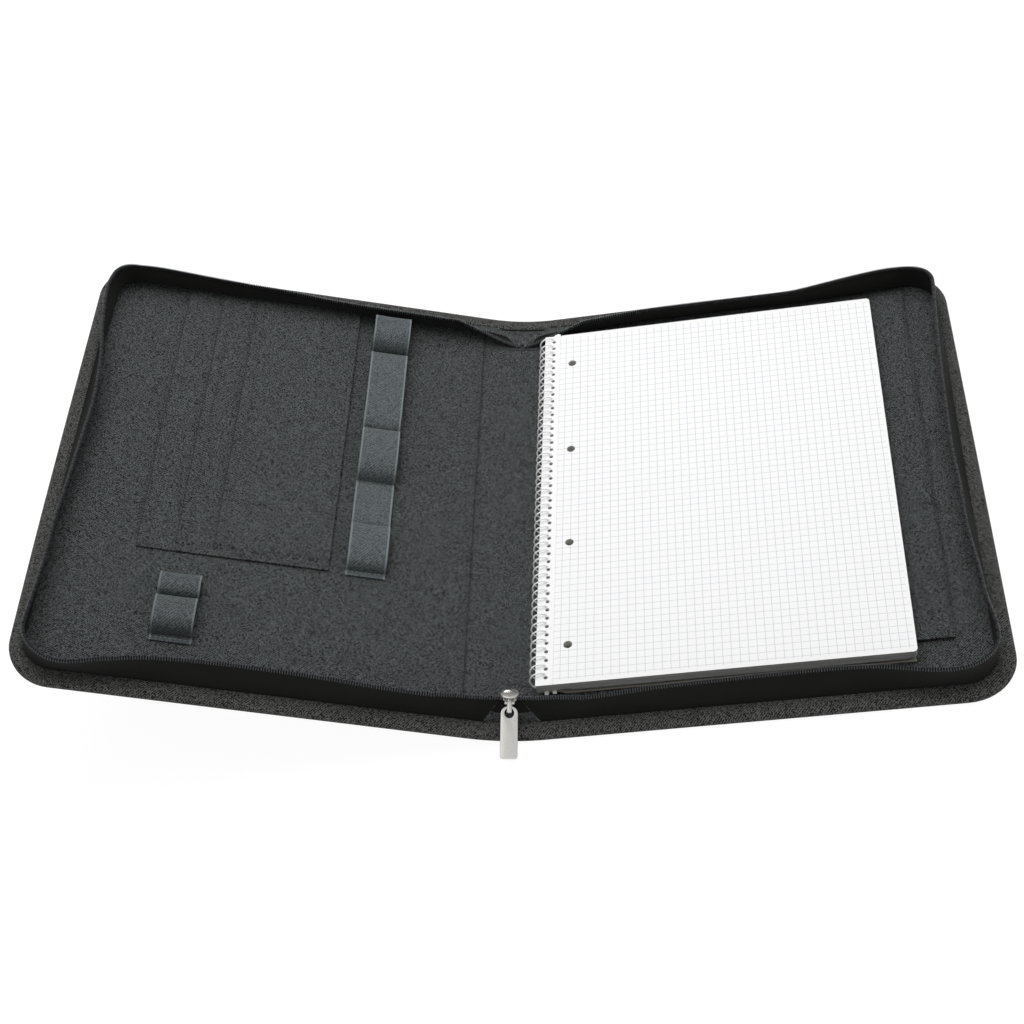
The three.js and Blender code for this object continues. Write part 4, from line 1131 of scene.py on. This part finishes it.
def build_stitches():
    """Every row of stitches, one piece for each thread and body."""
    for name, size, rows, n, slot in (
        ("strap_stitches", STRAP, STRAP_ROWS[:-1], FIT + STRAP["thickness"] + 0.1, "elastic"),
        ("pen_loop_stitches", PEN, (PEN["front"] - 1.2, PEN["row"]), FIT + 0.9, "loop_fabric"),
    ):
        u0, u1 = size["inner"] + 0.8, size["inner"] + size["width"] - 0.8
        sew(name, [stitch_path(u0, y, u1, y, n) for y in rows], slot=slot, thread="pale_thread")
    paths, edges = [], []
    for k in range(3):
        mouth, front, height = left_panel(k)
        for found, u, up in ((paths, mouth - 7, 0.05), (edges, mouth - 0.7, 0.1)):
            found.append([(on("left", u, y, height(u, y) + up), up_on("left", u))
                          for y in steps(front + 2, POCKET_BACK - 3, 5)])
    # The mouths' edge stitches are sewn end to end and wider than the others, as one dark line: partly real
    # edge stitching, partly painted shadow under each mouth's edge
    sew("mouth_stitches", edges, length=2.6, width=1.5)
    seam, front, n = DOCUMENT["seam"] + 2, DOCUMENT["front"], DOCUMENT["top"] + 0.45
    paths += [
        stitch_path(seam, front + 3.4, DOCUMENT["mouth"] - 2, front + 3.4, n),
        stitch_path(seam, front + 3, seam, POCKET_BACK, n - 0.3),
    ]
    paths += [stitch_path(u, 16, u, LENGTH - 26, 0.95) for u in (6.3, 9.7)]
    sew("left_panel_stitches", paths)
    outer, y, n = PAD_POCKET["outer"], PAD_POCKET["front"] + 7, PAD_POCKET["top"] + 0.15
    sew("pad_pocket_stitches", [
        stitch_path(PAD_POCKET["inner"] + 2, y, outer - 3, y, n, "right"),
        stitch_path(outer + 1.2, 26, outer + 1.2, POCKET_BACK, 0.25, "right"),
    ], "right_cover")
    y = LENGTH - TAPE_INSET - 18
    path = [(place(s, y, 0.85), (place(s, y, 1) - place(s, y, 0)).normalized())
            for s in steps(6, SPINE - 6, 3)]
    sew("spine_back_stitches", [path], "spine")


# Spiral pad

def punched(extra_radius=0.0):
    """The outlines of the coil's round holes and of the filing holes."""
    r = 1.2 + extra_radius
    holes = [oval(2.05, FIRST_HOLE + k * COIL["pitch"], r, r, 14) for k in range(COIL["turns"])]
    r = FILING["radius"]
    for k in range(FILING["count"]):
        y = PAD_FRONT + PAD_LENGTH / 2 + (k - (FILING["count"] - 1) / 2) * FILING["spacing"]
        holes.append(oval(FILING["u"], y, r, r, 24))
    return holes


def sheet_outline(shift=0.0):
    return rounded(PAD_LEFT + 0.3 * shift, PAD_FRONT + shift * 0.4, PAD_RIGHT - shift,
                   PAD_BACK - shift * 0.3, (0, PAD_CORNER, PAD_CORNER, 0))


def leaf(name, loops, thickness, n):
    """A flat plate, drawn in mm along u and y, at a height over the right cover."""
    piece = flat_solid(name, loops, thickness)
    piece.data.transform(Matrix.Translation(on("right", 0, 0, n)))
    return piece


def build_pad():
    """The pad's paper: a stack of slightly shifted sheets, and the printed top sheet."""
    layers, low, count = [], SHEETS["low"], 8
    thick = (SHEETS["top"] - low) / count
    for k in range(count):
        shift = 0.25 + 0.35 * sin(2.4 * k) ** 2
        layers.append(leaf(
            f"layer_{k}", [sheet_outline(shift)] + punched(), thick * 0.93, low + thick * (k + 0.5)))
    keel = rounded(PAD_LEFT + SHEETS["keel_start"] + 4, PAD_FRONT + 0.3, PAD_RIGHT - 1, PAD_BACK - 0.4,
                   (0, 5, 5, 0))
    keel_low = SHEETS["keel_low"]
    layers.append(leaf("keel", [keel], low - keel_low - 0.1, (low + keel_low) / 2))
    # Two shreds of a torn sheet are left on the wire's front end
    for u, y in ((0.7, 25.6), (5.4, 25.9)):
        shred = rounded(u, y, u + 2.5, PAD_FRONT + 0.5, (0.5, 0.5, 0, 0))
        layers.append(leaf("shred", [shred], 0.3, low - 0.35))
    # The stack's grey paper is painted shade on its sides, in its holes and on the shreds
    settled_on(joined("pad_stack", layers), "pad", "paper", "pad_sheets", look="plain_paper")
    second = leaf("second_sheet", [sheet_outline(0.3)] + punched(), 0.12, SHEETS["top"] + 0.06)
    settled_on(second, "pad", "paper", look="paper")

    # The top sheet is slit and a little torn beside the back end of the coil
    edge = sheet_outline()
    torn = [(PAD_LEFT + 11.2 + u, PAD_BACK + y) for u, y in (
        (0.4, 0), (0.3, -8), (1, -8.7), (0, -9.8), (-1, -8.7), (-0.4, -8), (-0.6, 1.1), (-2.4, 2),
        (-4.4, 1), (-5.4, 0))]
    top = leaf("top_sheet", [edge[:-1] + torn + edge[-1:]] + punched(0.15), 0.18,
               SHEETS["top"] + FIT + 0.05)
    settled_on(top, "top_sheet", "paper", "pad_top_sheet", look="paper")


def build_card():
    """The pad's back card, bent up beside the coil."""
    bend = CARD["bend"]
    columns = steps(PAD_LEFT + 0.2, bend[0], 4) + steps(*bend, 1.5)[1:]
    rows = []
    for u in columns + steps(bend[1], PAD_RIGHT - 1, 20)[1:]:
        n = mix(CARD["lift"], CARD["low"], smooth(u, *bend)) + CARD["thickness"]
        rows.append([(on("right", u, y, n), (u, y)) for y in steps(PAD_FRONT, PAD_BACK, 30)])
    card = cloth("back_card", rows, CARD["thickness"] * MM, "grey_board")
    settled_on(card, "pad", "card", "pad_back_card")


def build_coil():
    """The pad's wire, wound through the punched holes."""
    piece = grow(link("coil_wire", bpy.data.meshes.new("coil_wire")), coil_tree(), {
        "Turns": float(bpy.context.scene.folder_sizes.coil_turns), "Pitch": COIL["pitch"] * MM,
        "Radius": COIL["radius"] * MM, "Wire": COIL["wire"] / 2 * MM, "Finish": finish("coated_wire")})
    start = Matrix.Translation(on("right", COIL["u"], FIRST_HOLE - COIL["pitch"] / 4, COIL["n"]))
    lay, quarter = Matrix.Rotation(-pi / 2, 4, "X"), Matrix.Rotation(pi / 2, 4, "Z")
    piece.data.transform(start @ lay @ quarter)
    settled_on(piece, "pad", "coil_wire", "pad_coil")


# Stage

def build_stage():
    """A plain white floor, soft studio light, and the camera at the photograph's angle."""
    half, low = 4, -0.0002
    corners = [(x * half, y * half, low) for x, y in ((-1, -1), (1, -1), (1, 1), (-1, 1))]
    plane = link("floor", mesh_of("floor", corners, faces=[(0, 1, 2, 3)]))
    made, tree, shader, _ = finish_of("white_floor", 0.9, {
        "Specular IOR Level": 0.1, "Base Color": (*linear("#f7f7f7"), 1)})
    rays = add(tree, "ShaderNodeLightPath").outputs
    glow = out(tree, "ShaderNodeEmission", {"Color": (1, 1, 1, 1), "Strength": 1.1})
    lit = out(tree, "ShaderNodeMixShader", {0: 0.86, 1: shader.outputs[0], 2: glow})
    seen = out(tree, "ShaderNodeMixShader", {0: rays["Is Camera Ray"], 1: shader.outputs[0], 2: lit})
    tree.links.new(seen, tree.nodes["Material Output"].inputs["Surface"])
    plane.data.materials.append(made)

    world = bpy.data.worlds.new("studio")
    world.use_nodes = True
    bpy.context.scene.world = world
    tree = world.node_tree
    tree.nodes.clear()
    calc = maths(tree)
    rays = add(tree, "ShaderNodeLightPath").outputs
    # Polished metal sees a brighter room in front of it than behind it
    way = parts_of(tree, out(tree, "ShaderNodeTexCoord", which="Generated"))
    room = calc("MULTIPLY_ADD", way[1], -0.45, 0.13)
    levels = calc("MULTIPLY_ADD", rays["Is Glossy Ray"], room, 0.4)
    levels = calc("MAXIMUM", levels, rays["Is Camera Ray"])
    light = out(tree, "ShaderNodeBackground", {"Color": (1, 1, 1, 1), "Strength": levels})
    add(tree, "ShaderNodeOutputWorld", {"Surface": light})

    # The broad lamp gives the light, and the small one behind it the glints
    for name, spot, aim, size, power in (
        ("overhead", (0.1, 0.45, 1.6), (0, 0, 0), 1.4, 18),
        ("glint", (-0.1, 0.9, 0.95), (0, 0, 0), 0.35, 1.6),
        ("fill", (-0.6, -1.0, 1.2), (0, 0, 0.05), 1.0, 1.2),
    ):
        lamp = bpy.data.lights.new(name, "AREA")
        lamp.size = size
        lamp.energy = power
        holder = link(name, lamp)
        holder.visible_glossy = name != "overhead"
        holder.location = spot
        holder.rotation_euler = (Vector(aim) - Vector(spot)).to_track_quat("-Z", "Y").to_euler()

    camera = bpy.data.cameras.new("camera")
    camera.sensor_width = 36
    camera.lens = 67.0
    camera.clip_end = 20
    holder = link("camera", camera)
    holder.location = (0.18918, -0.80685, 0.88586)
    holder.rotation_euler = Euler((0.7401, 0.1936, 0.033), "XYZ")
    bpy.context.scene.camera = holder
    bpy.context.scene.view_settings.view_transform = "Standard"


class FolderStep:
    """What every step of the build shares."""

    bl_options = {"REGISTER", "UNDO"}

    def execute(self, context):
        self.build()
        return {"FINISHED"}


class FOLDER_OT_stage(FolderStep, bpy.types.Operator):
    """Make the floor, the lights and the camera"""

    bl_idname = "folder.stage"
    bl_label = "Stage"

    def build(self):
        build_stage()


class FOLDER_OT_outer_cloth(FolderStep, bpy.types.Operator):
    """Wrap the outer cloth round the covers and the spine"""

    bl_idname = "folder.outer_cloth"
    bl_label = "Outer cloth"

    def build(self):
        for side in SIDES:
            build_outer_cloth(side)


class FOLDER_OT_lining(FolderStep, bpy.types.Operator):
    """Lay the lining, its hems and the layers under it"""

    bl_idname = "folder.lining"
    bl_label = "Lining and inner layers"

    def build(self):
        for side in SIDES:
            build_lining(side)
        build_inner_layers()
        build_hems()


class FOLDER_OT_zip(FolderStep, bpy.types.Operator):
    """Make both tapes with their teeth, and the gussets between their ends"""

    bl_idname = "folder.zip"
    bl_label = "Zip"

    def build(self):
        for side in SIDES:
            build_zip(side)
        build_gussets()


class FOLDER_OT_slider(FolderStep, bpy.types.Operator):
    """Make the slider, its link and its pull"""

    bl_idname = "folder.slider"
    bl_label = "Slider and pull"

    def build(self):
        build_slider()
        build_pull()


class FOLDER_OT_pockets(FolderStep, bpy.types.Operator):
    """Sew on the pockets and the card slots"""

    bl_idname = "folder.pockets"
    bl_label = "Pockets"

    def build(self):
        build_left_pockets()
        build_pad_pocket()


class FOLDER_OT_bands(FolderStep, bpy.types.Operator):
    """Sew on the elastic strap and the pen loops"""

    bl_idname = "folder.bands"
    bl_label = "Strap and pen loops"

    def build(self):
        build_strap()
        build_pen_loops()


class FOLDER_OT_stitches(FolderStep, bpy.types.Operator):
    """Sew every visible row of stitches"""

    bl_idname = "folder.stitches"
    bl_label = "Stitches"

    def build(self):
        build_stitches()


class FOLDER_OT_pad(FolderStep, bpy.types.Operator):
    """Make the spiral pad: card, sheets and wire"""

    bl_idname = "folder.pad"
    bl_label = "Spiral pad"

    def build(self):
        build_card()
        build_pad()
        build_coil()


STEPS = (
    FOLDER_OT_stage, FOLDER_OT_outer_cloth, FOLDER_OT_lining, FOLDER_OT_zip, FOLDER_OT_slider,
    FOLDER_OT_pockets, FOLDER_OT_bands, FOLDER_OT_stitches, FOLDER_OT_pad,
)


class FOLDER_PT_panel(bpy.types.Panel):
    """Lists the folder's steps in the sidebar"""

    bl_label = "Writing folder"
    bl_space_type = "VIEW_3D"
    bl_region_type = "UI"
    bl_category = "Folder"

    def draw(self, context):
        for group in (context.scene.folder_sizes, context.scene.folder_colours):
            for name in group.__annotations__:
                self.layout.prop(group, name)
        for step in STEPS:
            self.layout.operator(step.bl_idname)


CLASSES = (FolderSizes, FolderColours, *STEPS, FOLDER_PT_panel)


def register():
    for made in CLASSES:
        bpy.utils.register_class(made)
    bpy.types.Scene.folder_sizes = PointerProperty(type=FolderSizes)
    bpy.types.Scene.folder_colours = PointerProperty(type=FolderColours)


def unregister():
    del bpy.types.Scene.folder_colours
    del bpy.types.Scene.folder_sizes
    for made in reversed(CLASSES):
        bpy.utils.unregister_class(made)


def main():
    register()
    for step in STEPS:
        group, name = step.bl_idname.split(".")
        getattr(getattr(bpy.ops, group), name)()


if __name__ == "__main__":
    main()
